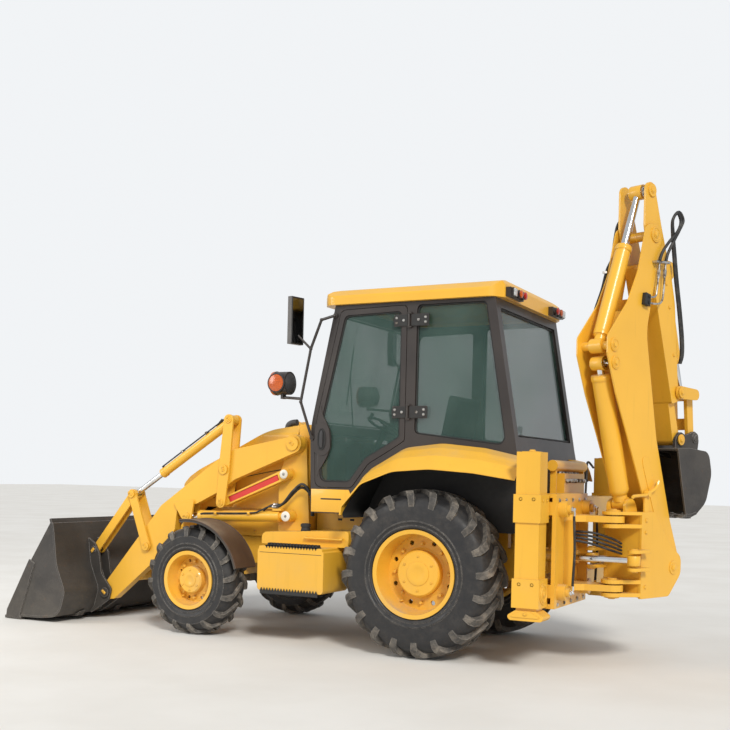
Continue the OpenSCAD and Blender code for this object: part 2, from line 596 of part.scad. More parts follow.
// ---- Loader ----
module loader_arms() place() color(yellow) {
    both() {
        difference() {
            union() {
                side_plate(rounded([[1315, 1785, 20], [1975, 1655, 40], [2110, 1590, 60],
                                    [2790, 1120, 60], [2925, 960, 60], [3480, 310, 60], [3440, 200, 40],
                                    [3330, 205, 40], [2790, 650, 40], [2625, 900, 40], [2600, 1112, 30],
                                    [2380, 1150, 60], [2130, 1270, 60], [1970, 1380, 60], [1330, 1634, 20]]),
                           arm_in, arm_out);
                pin(arm_pivot, 82, arm_in, arm_out);
                // Ears of the lift rams
                for (y = [[535, 556], [644, 665]]) side_plate(rounded([[2400, 1190, 20], [2640, 1160, 20],
                    [2535, 1010, 50], [2480, 970, 40], [2425, 1010, 50]]), y[0], y[1]);
                pin(bucket_pivot, 70, arm_in, arm_out);
                pin(front_pivot, 60, arm_in, arm_out);
            }
            pin(arm_pivot, 30 + fit, 500, 700);
            pin(bucket_pivot, 30 + fit, 500, 700);
            pin(front_pivot, 25 + fit, 500, 700);
            pin(lift_eye, 120, arm_in + 1, arm_out - 1);
        }
        // Pins of the tilt levers, heads of the lift rams' pins
        pin(lever_pivot, 28, 521, 679);
        for (y = [515, 677]) pin(lever_pivot, 44, y, y + 8);
        for (y = [527, 664]) pin(lift_eye, 34, y, y + 9);
    }
    // Cross tube
    translate([3110, -arm_in - 1, 450]) rotate([-90, 0, 0]) cylinder(r = 60, h = 2 * arm_in + 2);
}

module lift_barrels() place() color(yellow) both()
    barrel(lift_base, lift_eye, arm_mid, 960, lift_barrel_diameter / 2, loader_rod_diameter / 2, 50, 80, 30, 110);
module lift_rods() place() color(steel) both()
    rod(lift_base, lift_eye, arm_mid, 890, loader_rod_diameter / 2, 50, 70, 27);
module tilt_barrels() place() color(yellow) both()
    barrel(lever_head, front_head, arm_mid, 930, tilt_barrel_diameter / 2, loader_rod_diameter / 2, 44, 70, 25, 100);
module tilt_rods() place() color(steel) both()
    rod(lever_head, front_head, arm_mid, 785, loader_rod_diameter / 2, 44, 56, 24);

module levelling_links() place() color(yellow) both() difference() {
    side_plate(capsule(link_pivot, 46, lever_foot, 40), 565, 635);
    // Open towards the outside
    let (d = unit(lever_foot - link_pivot), n = [-d[1], d[0]] * 27)
        side_plate([link_pivot + 75 * d + n, lever_foot - 70 * d + n, lever_foot - 70 * d - n,
                    link_pivot + 75 * d - n], 577, 700);
    pin(link_pivot, 25 + fit, 500, 700);
    pin(lever_foot, 24, 500, 700);
}

// Plates on both sides of the arm
module lever_sides(t) for (y = [[600 - 71, 600 - 51], [600 + 51, 600 + 71]]) translate([0, y[0], 0]) children();
module tilt_levers() place() color(yellow) both() {
    for (y = [529, 651]) difference() {
        side_plate(concat(arc(lever_head, 50, -5, 175, 12), arc(lever_pivot, 58, 178, 190, 3),
                          arc(lever_foot, 48, 185, 355, 12), arc(lever_pivot, 58, -12, 2, 3)), y, y + 20);
        pin(lever_pivot, 28 + fit, 500, 700);
    }
    pin(lever_head, 25, 530, 670);
    for (p = [[lever_head, 521, 30], [lever_head, 670, 30], [lever_foot, 521, 30], [lever_foot, 670, 30]])
        pin(p[0], p[2], p[1], p[1] + 9);
}

module lever_pins() place() color(steel) both() {
    pin(front_pivot, 25, 524, 676);
    for (y = [516, 675]) pin(front_pivot, 38, y, y + 9);
}
module front_levers() place() color(yellow) both() {
    for (y = [529, 651]) difference() {
        side_plate(capsule(front_pivot, 46, front_head, 44), y, y + 20);
        pin(front_pivot, 25 + fit, 500, 700);
        pin(front_head, 25 + fit, 500, 700);
    }
}
module link_pins() place() color(steel) both() for (s = [-1, 1]) translate([0, 600 + s * 50, 0]) {
    pin(front_head, 25, s < 0 ? -31 : -20, s < 0 ? 20 : 31);
    pin(front_head, 36, s * 31 - 6, s * 31 + 6);
}
module bucket_links() place() color(yellow) both() {
    for (y = [553, 629]) difference() {
        side_plate(capsule(front_head, 42, bucket_top, 40), y, y + 18);
        pin(front_head, 25 + fit, 500, 700);
        pin(bucket_top, 24, 500, 700);
    }
    let (d = unit(bucket_top - front_head), n = [-d[1], d[0]])
        side_plate([front_head + 110 * d + 30 * n, bucket_top - 75 * d + 30 * n,
                    bucket_top - 75 * d + 16 * n, front_head + 110 * d + 16 * n], 570, 630);
}
module bucket_pins() place() color(steel) both() {
    pin(bucket_pivot, 30, 512, 688);
    for (y = [504, 687]) pin(bucket_pivot, 46, y, y + 9);
}

// Loader bucket's section, open to the front [x, z, corner radius]
bucket_section = [[3665, 935, 0], [3650, 860, 60], [3606, 540, 200], [3500, 300, 120], [3570, 60, 150],
                  [3800, 34, 0], [4235, 22, 0]];
module loader_bucket() place() color([0.2, 0.2, 0.21]) {
    w = loader_bucket_width / 2;
    line = open_line(bucket_section, 8);
    inner = offset_line(line, bucket_plate);
    difference() {
        union() {
            side_plate(concat(line, reversed(inner)), -w, w);
            both() side_plate(concat(offset_line(line, 4), [[4200, 90], [3940, 560], [3700, 932]]),
                              w - bucket_plate, w - 1);
        }
        block(4228, 4300, -w - 10, w + 10, -20, 100);
    }
    // Cutting edge and side cutters
    block(4040, 4240, -w - 8, w + 8, 6, 32);
    both() side_plate([[4225, 20], [4215, 90], [3945, 580], [3880, 545], [4060, 20]], w - 4, w + 10);
    // Spill lip
    side_plate([[3655, 880], [3690, 900], [3712, 970], [3690, 976]], -w + 2, w - 2);
    both() for (y = [525, 655]) difference() {
        side_plate(rounded([[3660, 790, 10], [3560, 730, 50], [3505, 640, 50], [3470, 440, 100],
                            [3345, 300, 50], [3375, 190, 50], [3590, 55, 10], [3625, 100, 10],
                            [3520, 300, 80], [3630, 560, 60]]), y, y + 20);
        pin(bucket_pivot, 30 + fit, 500, 700);
    }
    both() for (y = [517, 675]) pin(bucket_top, 30, y, y + 9);
}

// ---- Stabilisers and the backhoe's frame ----
leg_x = -970;
module rear_frame() place() color(yellow) {
    both() {
        y = leg_spacing / 2;
        difference() {
            union() {
                block(leg_x - 92, leg_x + 92, y - 85, y + 85, 495, 1650);
                block(leg_x - 106, leg_x + 106, y - 98, y + 98, 1125, 1335);
                block(leg_x - 106, leg_x + 106, y - 98, y + 98, 495, 710);
                translate([leg_x - 112, y, 600]) rotate([0, 90, 0]) cylinder(r = 80, h = 224);
            }
            block(leg_x - 80, leg_x + 80, y - 73, y + 73, 400, 1638);
        }
        // Plates from the rails' ends, open between them for the slew rams
        side_plate([[-690, 880], [-600, 880], [-600, 1112], [-775, 1112], [-790, 1310], [-880, 1310],
                    [-880, 1150], [-800, 1090], [-705, 1000]], rail_in, rail_out);
        side_plate([[-880, 510], [-600, 510], [-600, 620], [-690, 620], [-710, 690], [-880, 690]],
                   rail_in, rail_out);
    }
    // Rails that the carriage slides on
    y = leg_spacing / 2 - 84;
    block(leg_x - 92, leg_x + 92, -y, y, 1150, 1310);
    block(leg_x - 92, leg_x + 92, -y, y, 515, 690);
    // Valve chest and cross tube over the upper rail
    block(-985, -880, -280, 280, 1309, 1500);
    for (s = [-1, 1]) block(-950, -900, s * 380 - 12, s * 380 + 12, 1309, 1560);
    translate([-925, -420, 1560]) rotate([-90, 0, 0]) cylinder(r = 45, h = 840);
}

module stabiliser() color(yellow) {
    y = leg_spacing / 2;
    block(leg_x - 79, leg_x + 79, y - 72, y + 72, foot_height + 60, 1500);
    translate([0, y, 0]) side_plate(rounded([[leg_x - foot_width / 2, foot_height + 30, 20],
        [leg_x - foot_width / 2 + 30, foot_height, 20], [leg_x + foot_width / 2 - 30, foot_height, 20],
        [leg_x + foot_width / 2, foot_height + 30, 20], [leg_x + 80, foot_height + 75, 20],
        [leg_x - 80, foot_height + 75, 20]]), -85, 85);
}
module stabiliser_left() place() stabiliser();
module stabiliser_right() place() mirror([0, 1, 0]) stabiliser();

function lug_shape() = concat(arc([0, 0], 85, 100, 260, 12), [[90, -92], [185, -104], [345, -230],
                       [345, 230], [185, 104], [90, 92]]);
module carriage() place() color(yellow) {
    translate([0, side_shift, 0]) {
        difference() {
            union() {
                block(-1128, -1096, -412, 412, 505, 1320);
                // Hooks over the rails
                block(-1128, -1000, -412, 412, 1311, 1342);
                block(-1128, -1000, -412, 412, 480, 514);
                for (z = [1180, 560]) block(-1097, -1063, -412, 412, z, z + 100);
                // Lugs for the slew pin
                translate([slew_x, 0, 1130]) linear_extrude(50) polygon(lug_shape());
                translate([slew_x, 0, 605]) linear_extrude(50) polygon(lug_shape());
                // Ribs between lugs and plate
                for (s = [-1, 1]) block(-1200, -1127, s * 190 - 12, s * 190 + 12, 640, 1140);
                // Clamp bosses
                for (z = [1228, 600]) for (s = [-1, 1]) translate([-1190, s * 310, z]) rotate([0, 90, 0])
                    cylinder(r = 62, h = 64);
                for (z = [1228, 600]) for (s = [-1, 1]) translate([-1214, s * 310, z]) rotate([0, 90, 0])
                    cylinder(r = 34, h = 30);
            }
            translate([slew_x, 0, 500]) cylinder(r = 38 + fit, h = 900);
            for (s = [-1, 1]) translate([-1300, s * 65, 850]) rotate([0, 90, 0]) cylinder(r = 40, h = 400);
        }
        // Slew ram barrels, held by the plate
        for (s = [-1, 1]) translate([0, s * 65, 850]) rotate([0, 90, 0]) difference() {
            union() {
                translate([0, 0, -1165]) cylinder(r = 45, h = 462);
                translate([0, 0, -1165]) cylinder(r = 52, h = 36);
            }
            translate([0, 0, -1200]) cylinder(r = 25 + fit, h = 482);
        }
    }
}

module slew_rod(side) {
    x = slew_x - side * slew_reach * sin(slew_rest);
    color(steel) translate([x, side_shift + side * 65, 850]) difference() {
        union() {
            translate([0, 0, -35]) cylinder(r = 48, h = 70);
            rotate([0, 90, 0]) translate([0, 0, 30]) cylinder(r = 25, h = side > 0 ? 508 : 475);
        }
        translate([0, 0, -50]) cylinder(r = 24, h = 100);
    }
}
module slew_rod_left() place() slew_rod(1);
module slew_rod_right() place() slew_rod(-1);

module kingpost() color(yellow) hoe() {
    // Plates above and below each lug of the carriage
    plate = concat(arc([0, 0], 85, 90, 270, 12), [[130, -170], [420, -170], [420, 170], [130, 170]]);
    top = concat(arc([0, 0], 85, 90, 270, 12), [[130, -170], [222, -170], [222, 170], [130, 170]]);
    for (z = [[565, 595], [665, 695], [1090, 1120]]) translate([0, 0, z[0]]) linear_extrude(z[1] - z[0])
        polygon(z[0] == 1090 ? top : plate);
    translate([0, 0, 1190]) linear_extrude(25) polygon(top);
    for (z = [[560, 705], [1085, 1222]]) translate([0, 0, z[0]]) cylinder(r = 38, h = z[1] - z[0]);
    for (z = [555, 1214]) translate([0, 0, z]) cylinder(r = 56, h = 11);
    // Slew lugs to either side
    for (z = [770, 905]) for (s = [-1, 1]) translate([0, 0, z]) linear_extrude(25)
        polygon(concat(arc([0, s * slew_reach], 46, 90, 270, 10),
                       [[160, s * slew_reach - 46], [160, s * slew_reach + 46]]));
    for (z = [761, 929]) for (s = [-1, 1]) translate([0, s * slew_reach, z]) cylinder(r = 30, h = 10);
    hoe_sides(159) side_plate(rounded([[130, 550, 10], [520, 550, 60], [690, 720, 90], [690, 860, 80],
                                       [560, 930, 60], [330, 1180, 60], [300, 1215, 20], [130, 1215, 10]]), -11, 11);
    block(134, 160, -150, 150, 560, 1215);
    // Pins and their heads
    pin(foot_pin, 35, -170, 170);
    hoe_sides(172) pin(foot_pin, 54, -5, 5);
    hoe_sides(75) side_plate(rounded([[30, 1205], [30, 1275, 60], [100, 1345, 70], [170, 1275, 60], [190, 1205]]),
                             -12, 12);
    pin(boom_ram_base, 32, -86, 86);
}

module boom() color(yellow) hoe() {
    hull_line = rounded([[480, 745, 90], [300, 1090, 200], [98, 1500, 300], [-50, 1800, 400], [-207, 2100, 300],
                         [-325, 2390, 60], [-325, 2520, 60], [-79, 2800, 150], [50, 3050, 200], [150, 3430, 90],
                         [375, 3450, 90], [350, 3300, 60], [262, 2950, 200], [175, 2600, 400], [345, 1780, 400],
                         [560, 1150, 200], [690, 860, 100], [660, 690, 90], [520, 670, 60]], 5);
    hoe_sides(136) difference() {
        side_plate(hull_line, -6, 6);
        pin(foot_pin, 35 + fit, -20, 20);
    }
    // Box between the plates, clear of the rams
    difference() {
        side_plate(rounded([[500, 900, 60], [330, 1250, 200], [180, 1500, 200], [60, 1800, 200],
                            [-5, 2100, 200], [-40, 2330, 60], [-30, 2600, 80], [70, 2840, 20], [225, 2880, 20],
                            [155, 2600, 400], [322, 1780, 400], [538, 1140, 200], [650, 880, 60]], 5), -131, 131);
        side_plate(rounded([[515, 930, 20], [345, 1260, 190], [195, 1508, 190], [76, 1803, 190],
                            [11, 2102, 190], [-24, 2332, 50], [-15, 2600, 70], [82, 2900, 10], [205, 2900, 10],
                            [138, 2600, 400], [306, 1777, 400], [522, 1134, 200], [632, 890, 15]], 5), -120, 120);
    }
    // Pins of the dipper and of its ram, and heads of the boom ram's pin
    pin(dipper_pin, 38, -150, 150);
    pin(dipper_ram_base, 34, -150, 150);
    for (p = [[dipper_pin, 60], [dipper_ram_base, 50], [boom_ram_eye, 50]])
        hoe_sides(146) pin(p[0], p[1], -5, 5);
    // Foot boss
    hoe_sides(120) difference() {
        pin(foot_pin, 80, -11, 11);
        pin(foot_pin, 35 + fit, -20, 20);
    }
}

module boom_barrel() color(yellow) hoe()
    barrel(boom_ram_base, boom_ram_eye, 0, 1020, boom_barrel_diameter / 2, hoe_rod_diameter / 2, 52, 110, 32, 130);
module boom_rod() color(steel) hoe()
    rod(boom_ram_base, boom_ram_eye, 0, 950, hoe_rod_diameter / 2, 52, 110, 30);
module dipper_barrel() color(yellow) hoe()
    barrel(dipper_ram_base, dipper_ram_eye, 0, 850, dipper_barrel_diameter / 2, hoe_rod_diameter / 2, 56, 110, 34, 110);
module dipper_rod() color(steel) hoe()
    rod(dipper_ram_base, dipper_ram_eye, 0, 770, hoe_rod_diameter / 2, 56, 110, 30);

// A point of the dipper [along, outward] in the backhoe's plane
function on_dipper(p) = dipper_pin + p[0] * [0.278, -0.961] + p[1] * [0.961, 0.278];
function dipper_shape(l) = rounded([for (q = l) let (d = on_dipper(q)) [d[0], d[1], q[2]]], 5);
module dipper() color(yellow) hoe() {
    difference() {
        union() {
            // Ears for its ram, beside the pin of the boom
            hoe_sides(114) side_plate(dipper_shape([[-400, 110, 60], [-400, 0, 60], [-90, -90, 90], [140, -95, 60],
                                                    [320, -60, 60], [320, 170, 60], [-60, 130, 120]]), -9, 9);
            difference() {
                side_plate(dipper_shape([[200, -85, 30], [1328, -52, 20], [1328, 72, 30], [1180, 72, 200],
                                         [560, 180, 300], [200, 180, 60]]), -122, 122);
                side_plate(dipper_shape([[180, -71, 30], [1190, -42, 20], [1190, 56, 30], [1170, 58, 200],
                                         [560, 166, 300], [180, 166, 30]]), -100, 100);
            }
            side_plate(dipper_shape([[1200, -45, 20], [1640, -60, 40], [1700, 0, 50], [1640, 60, 30],
                                     [1560, 34, 60], [1360, 34, 60], [1200, 64, 20]]), -88, 88);
            hoe_sides(107) pin(tip_pivot, 50, -15, 15);
            // Ears for the bucket's ram
            hoe_sides(62) side_plate(dipper_shape([[200, 165, 10], [250, 315, 50], [350, 315, 50], [430, 165, 10]]),
                                     -12, 12);
        }
        pin(dipper_pin, 38 + fit, -200, 200);
    }
    pin(bucket_ram_base, 30, -82, 82);
    pin(tip_pivot, 30, -152, 152);
    hoe_sides(157) pin(tip_pivot, 44, -5, 5);
    hoe_sides(128) pin(dipper_ram_eye, 50, -6, 6);
    pin(hoe_bucket_pin, 30, -128, 128);
    hoe_sides(131) pin(hoe_bucket_pin, 44, -5, 5);
}
module bucket_barrel() color(yellow) hoe()
    barrel(bucket_ram_base, tip_pin, 0, 760, bucket_barrel_diameter / 2, 25, 46, 90, 30, 100);
module bucket_rod() color(steel) hoe()
    rod(bucket_ram_base, tip_pin, 0, 700, 25, 46, 60, 26);
module tipping_levers() color(yellow) hoe() {
    hoe_sides(139) difference() {
        side_plate(capsule(tip_pivot, 52, tip_pin, 44), -9, 9);
        pin(tip_pivot, 30 + fit, -20, 20);
    }
    // Each side's pin ends short of the ram's eye
    hoe_sides(92) pin(tip_pin, 28, -52, 56);
}
module tipping_links() color(yellow) hoe() {
    hoe_sides(70) difference() {
        side_plate(capsule(tip_pin, 44, tip_bucket_pin, 42), -15, 15);
        pin(tip_pin, 28 + fit, -20, 20);
        pin(tip_bucket_pin, 28, -20, 20);
    }
    let (d = unit(tip_bucket_pin - tip_pin), n = [-d[1], d[0]])
        side_plate([tip_pin + 190 * d + 20 * n, tip_pin + 285 * d + 20 * n, tip_pin + 285 * d - 4 * n,
                    tip_pin + 190 * d - 4 * n], -56, 56);
}
module hoe_bucket() color([0.2, 0.2, 0.21]) hoe() {
    w = hoe_bucket_width / 2;
    line = open_line([[505, 1715, 0], [660, 1722, 40], [960, 1700, 90], [1010, 1520, 160], [930, 1290, 160],
                      [780, 1190, 100], [640, 1180, 0]], 6);
    inner = offset_line(line, -16);
    side_plate(concat(line, reversed(inner)), -w, w);
    hoe_sides(w - 8) side_plate(concat(line, [[570, 1440]]), -8, 8);
    // Ears for the dipper's pin and the link's pin
    hoe_sides(108) difference() {
        side_plate(rounded([[650, 1700, 10], [660, 1800, 40], [721, 1860, 50], [800, 1830, 40], [880, 1850, 40],
                            [950, 1875, 50], [1005, 1800, 50], [975, 1640, 20], [900, 1650, 20]]), -12, 12);
        pin(hoe_bucket_pin, 30 + fit, -20, 20);
    }
    hoe_sides(124) pin(tip_bucket_pin, 42, -5, 5);
    // Lip and teeth
    block(630, 720, -w, w, 1174, 1194);
    for (i = [-2:2]) translate([0, i * (w - 34) / 2, 0])
        side_plate([[720, 1204], [660, 1204], [590, 1172], [660, 1162], [720, 1164]], -26, 26);
}

chassis();
engine();
bonnet();
cab_frame();
cab_roof();
cab_glass();
cab_interior();
door();
door_glass();
fenders();
side_boxes();
axles();
rear_frame();
lamps_mirrors();
knuckle_left();
knuckle_right();
rim_front_left();
rim_front_right();
rim_rear_left();
rim_rear_right();
tyre_front_left();
tyre_front_right();
tyre_rear_left();
tyre_rear_right();
loader_arms();
lift_barrels();
lift_rods();
levelling_links();
tilt_levers();
tilt_barrels();
tilt_rods();
lever_pins();
front_levers();
link_pins();
bucket_links();
bucket_pins();
loader_bucket();
stabiliser_left();
stabiliser_right();
carriage();
kingpost();
slew_rod_left();
slew_rod_right();
boom();
boom_barrel();
boom_rod();
dipper();
dipper_barrel();
dipper_rod();
tipping_levers();
tipping_links();
bucket_barrel();
bucket_rod();
hoe_bucket();
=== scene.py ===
"""Backhoe loader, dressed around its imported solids.

Places are in the source's millimetres, from the ground point under the rear axle (+X forward, +Y left,
+Z up); pieces of the backhoe are drawn in its own plane."""
import math

import bmesh
import bpy
from mathutils import Matrix, Vector


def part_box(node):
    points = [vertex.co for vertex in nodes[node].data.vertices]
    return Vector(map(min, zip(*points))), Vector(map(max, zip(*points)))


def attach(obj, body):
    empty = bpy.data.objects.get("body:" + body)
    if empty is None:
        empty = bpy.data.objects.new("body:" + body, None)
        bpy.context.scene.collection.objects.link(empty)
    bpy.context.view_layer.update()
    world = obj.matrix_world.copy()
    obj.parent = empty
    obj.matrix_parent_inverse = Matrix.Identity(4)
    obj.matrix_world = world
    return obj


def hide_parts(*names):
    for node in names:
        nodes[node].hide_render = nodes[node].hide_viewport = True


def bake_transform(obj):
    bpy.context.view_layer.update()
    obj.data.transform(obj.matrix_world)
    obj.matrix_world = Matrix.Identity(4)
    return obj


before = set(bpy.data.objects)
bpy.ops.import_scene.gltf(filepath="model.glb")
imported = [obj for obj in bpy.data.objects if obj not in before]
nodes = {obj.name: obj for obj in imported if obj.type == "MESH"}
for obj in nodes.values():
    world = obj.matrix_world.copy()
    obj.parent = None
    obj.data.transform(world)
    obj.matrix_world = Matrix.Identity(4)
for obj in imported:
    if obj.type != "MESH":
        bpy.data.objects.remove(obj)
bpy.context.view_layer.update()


# Camera and studio
# The camera stands to the left of the machine, a little behind it and at eye height, as in the
# photograph. The light is a soft sky with a sun through haze and one broad lamp.
low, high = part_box("tyre_rear_left")
rear_x = (low.x + high.x) / 2
machine = Matrix.Translation((rear_x, 0, 0)) @ Matrix.Scale(0.001, 4)

# The camera's place, aim, roll, lens and shift come from fitting it to the photograph
CAMERA_SPOT, CAMERA_AIM, CAMERA_ROLL = (-3590, 8740, 1460), Vector((0.463, -0.886, 0)), 1.3
lens = bpy.data.cameras.new("camera")
lens.sensor_width = 36
lens.lens = 53.26
lens.shift_y = 0.149
lens.clip_start, lens.clip_end = 0.1, 200
camera = bpy.data.objects.new("camera", lens)
bpy.context.scene.collection.objects.link(camera)
camera.location = machine @ Vector(CAMERA_SPOT)
camera.rotation_mode = "QUATERNION"
camera.rotation_quaternion = (CAMERA_AIM.normalized().to_track_quat("-Z", "Y")
                              @ Matrix.Rotation(math.radians(CAMERA_ROLL), 3, "Z").to_quaternion())
bpy.context.scene.camera = camera

view = bpy.context.scene.view_settings
view.view_transform = "Standard"
world = bpy.data.worlds.new("soft_sky")
bpy.context.scene.world = world
world.use_nodes = True
sky = world.node_tree.nodes["Background"]
sky.inputs["Color"].default_value = (0.93, 0.96, 1.0, 1)
sky.inputs["Strength"].default_value = 0.62
# Seen directly or in glass and metal, the sky is a pale backdrop
paths = world.node_tree.nodes.new("ShaderNodeLightPath")
seen = world.node_tree.nodes.new("ShaderNodeMath")
seen.operation = "MAXIMUM"
backdrop = world.node_tree.nodes.new("ShaderNodeBackground")
backdrop.inputs["Color"].default_value = (0.93, 0.95, 0.97, 1)
backdrop.inputs["Strength"].default_value = 0.95
choose = world.node_tree.nodes.new("ShaderNodeMixShader")
link = world.node_tree.links.new
link(paths.outputs["Is Camera Ray"], seen.inputs[0])
link(paths.outputs["Is Transmission Ray"], seen.inputs[1])
link(seen.outputs[0], choose.inputs[0])
link(sky.outputs[0], choose.inputs[1])
link(backdrop.outputs[0], choose.inputs[2])
link(choose.outputs[0], world.node_tree.nodes["World Output"].inputs["Surface"])


def lamp(name, spot, target, strength, size, kind="AREA"):
    """A round lamp, or a sun, at spot and aimed at target, in metres."""
    light = bpy.data.lights.new(name, kind)
    light.energy = strength
    if kind == "SUN":
        light.angle = size
    else:
        light.shape, light.size = "DISK", size
    light.color = (1.0, 0.97, 0.92)
    holder = bpy.data.objects.new(name, light)
    bpy.context.scene.collection.objects.link(holder)
    holder.location = spot
    holder.rotation_mode = "QUATERNION"
    holder.rotation_quaternion = (Vector(target) - Vector(spot)).to_track_quat("-Z", "Y")


lamp("key_lamp", (-7.5, 8.5, 9.5), (0, 0, 1.2), 2.3, 0.2, "SUN")
lamp("fill_lamp", (8.0, 7.0, 5.0), (0, 0, 1.2), 350, 5.0)


# Tyres
# Industrial tyres: a carcass of black rubber with its bead on the rim's flange, and two rows of bars that
# start low on the sidewall, turn over the shoulder and run slantwise to the tread's middle.
SIDES = ((1, "left"), (-1, "right"))


class Tone:
    """One socket of a finish, so that shader maths reads as an expression."""

    def __init__(self, finish, socket):
        self.finish, self.socket = finish, socket

    def maths(self, operation, *values):
        return self.finish.node("Math", {"operation": operation}, dict(enumerate(values)))

    def __add__(self, other): return self.maths("ADD", self, other)
    def __radd__(self, other): return self.maths("ADD", other, self)
    def __sub__(self, other): return self.maths("SUBTRACT", self, other)
    def __rsub__(self, other): return self.maths("SUBTRACT", other, self)
    def __mul__(self, other): return self.maths("MULTIPLY", self, other)
    def __rmul__(self, other): return self.maths("MULTIPLY", other, self)

    def between(self, start, end):
        """0 at start, 1 at end, smooth between them."""
        return self.finish.node("MapRange", {"interpolation_type": "SMOOTHSTEP"},
                                {"Value": self, "From Min": start, "From Max": end})


class Finish:
    """A material with its tree; what varies feeds only colour, roughness, metallic, alpha or normal."""

    def __init__(self, name, roughness=0.5, metallic=0.0, **plain):
        self.material = bpy.data.materials.new(name)
        self.material.use_nodes = True
        self.tree = self.material.node_tree
        self.shader = self.tree.nodes["Principled BSDF"]
        self.slot = plain.pop("slot", name)
        self.put(Roughness=roughness, Metallic=metallic, **plain)
        self.place = self.node("TexCoord", {}, {}, "Object")

    def node(self, kind, settings, values, out=0):
        """Adds a node, joins its inputs by name or number, and gives one output as a tone."""
        made = self.tree.nodes.new("ShaderNode" + kind)
        for name, value in settings.items():
            setattr(made, name, value)
        for name, value in values.items():
            self.join(made.inputs[name], value)
        return Tone(self, made.outputs[out])

    def join(self, socket, value):
        if isinstance(value, Tone):
            self.tree.links.new(value.socket, socket)
        elif isinstance(value, tuple) and len(value) == 3 and socket.type == "RGBA":
            socket.default_value = (*value, 1)
        else:
            socket.default_value = value

    def put(self, **values):
        """Sets inputs of the shader, Base_Color for Base Color."""
        for name, value in values.items():
            self.join(self.shader.inputs[name.replace("_", " ")], value)
        return self

    def noise(self, scale, detail, roughness=0.55, stretch=None):
        spot = self.place
        if stretch:
            spot = self.node("Mapping", {}, {"Vector": spot, "Scale": stretch})
        return self.node("TexNoise", {}, {"Vector": spot, "Scale": scale, "Detail": detail,
                                          "Roughness": roughness})

    def cells(self, scale):
        """Small cells, 0 along their borders."""
        return self.node("TexVoronoi", {"feature": "DISTANCE_TO_EDGE"},
                         {"Vector": self.place, "Scale": scale})

    def mix(self, share, a, b):
        return self.node("Mix", {"data_type": "RGBA"}, {0: share, 6: a, 7: b}, 2)

    def height(self):
        """Metres above the ground, at rest."""
        return self.node("SeparateXYZ", {}, {0: self.place}, 2)

    def up(self):
        """How far a face looks upwards, from -1 to 1, turning with its piece."""
        return self.node("SeparateXYZ", {}, {0: self.node("TexCoord", {}, {}, "Normal")}, 2)

    def edge(self, radius):
        """1 along a sharp outer edge, 0 on a flat face."""
        bent = self.node("Bevel", {"samples": 4}, {"Radius": radius})
        face = self.node("NewGeometry", {}, {}, "Normal")
        even = self.node("VectorMath", {"operation": "DOT_PRODUCT"}, {0: bent, 1: face}, "Value")
        return (1.0 - even).between(0.02, 0.22)

    def bump(self, height, distance, strength, soften=0.0):
        """Raises the surface by a tone; soften rounds sharp edges in the light."""
        values = {"Height": height, "Distance": distance, "Strength": strength}
        if soften:
            values["Normal"] = self.node("Bevel", {"samples": 4}, {"Radius": soften})
        return self.put(Normal=self.node("Bump", {}, values))


def dress(finish, names):
    """Gives these pieces of the source a finish."""
    for name in names.split():
        nodes[name].data.materials.clear()
        nodes[name].data.materials.append(finish.material)


def tyre_finish(name, black, dust, shine):
    """Rubber with ground-in dust; worn edges show lighter."""
    made = Finish(name, slot="tyre_rubber")
    grain = made.noise(70, 5, 0.7)
    ground_in = made.noise(5, 6, 0.6).between(0.38, 0.66)
    tint = made.mix(grain, black, tuple(1.8 * c for c in black))
    dusty = (dust * (0.3 + ground_in)) * made.noise(16, 6, 0.7).between(0.3, 0.75)
    tint = made.mix(dusty, tint, (0.23, 0.2, 0.165))
    worn = made.edge(0.012) * made.noise(30, 5, 0.7).between(0.3, 0.6)
    made.put(Base_Color=made.mix(worn * 0.65, tint, (0.34, 0.31, 0.27)), Roughness=shine + 0.3 * ground_in)
    return made.bump(grain, 0.0012, 0.45)


rubber = tyre_finish("tyre_rubber", (0.011, 0.011, 0.012), 0.12, 0.42)
tread_rubber = tyre_finish("tread_rubber", (0.03, 0.028, 0.026), 1.0, 0.62)
dress(rubber, "tyre_front_left tyre_front_right tyre_rear_left tyre_rear_right")


def ring(shape, centre, profile, steps, axis="Y", closed=False, side=1):
    """Turns a profile of (radius, along) about a line through centre; side -1 mirrors it along the line."""
    rows = []
    for radius, along in profile:
        spots = []
        for i in range(1 if radius == 0 else steps):
            a = 2 * math.pi * i / steps
            across, up = radius * math.sin(a), radius * math.cos(a)
            flat = {"X": (side * along, across, up), "Y": (across, side * along, up),
                    "Z": (across, up, side * along)}[axis]
            spots.append(shape.verts.new(Vector(centre) + Vector(flat)))
        rows.append(spots)
    pairs = list(zip(rows, rows[1:])) + ([(rows[-1], rows[0])] if closed else [])
    for a, b in pairs:
        for i in range(steps):
            j = (i + 1) % steps
            corners = list(dict.fromkeys((a[i % len(a)], a[j % len(a)], b[j % len(b)], b[i % len(b)])))
            if len(corners) > 2:   # a pole has one point for the whole row
                shape.faces.new(corners)


def place(shape, name, finish, body="machine", at=machine, smooth=38, fitted=True):
    """Ends a piece: its mesh in its place in metres, its finish, and the body that it rides on."""
    bmesh.ops.recalc_face_normals(shape, faces=shape.faces)
    shape.transform(at)
    mesh = bpy.data.meshes.new(name)
    shape.to_mesh(mesh)
    shape.free()
    mesh.materials.append(finish.material)
    mesh.shade_smooth()
    mesh.set_sharp_from_angle(angle=math.radians(smooth))
    piece = bpy.data.objects.new(name, mesh)
    bpy.context.scene.collection.objects.link(piece)
    if fitted:
        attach(piece, body)
    return piece


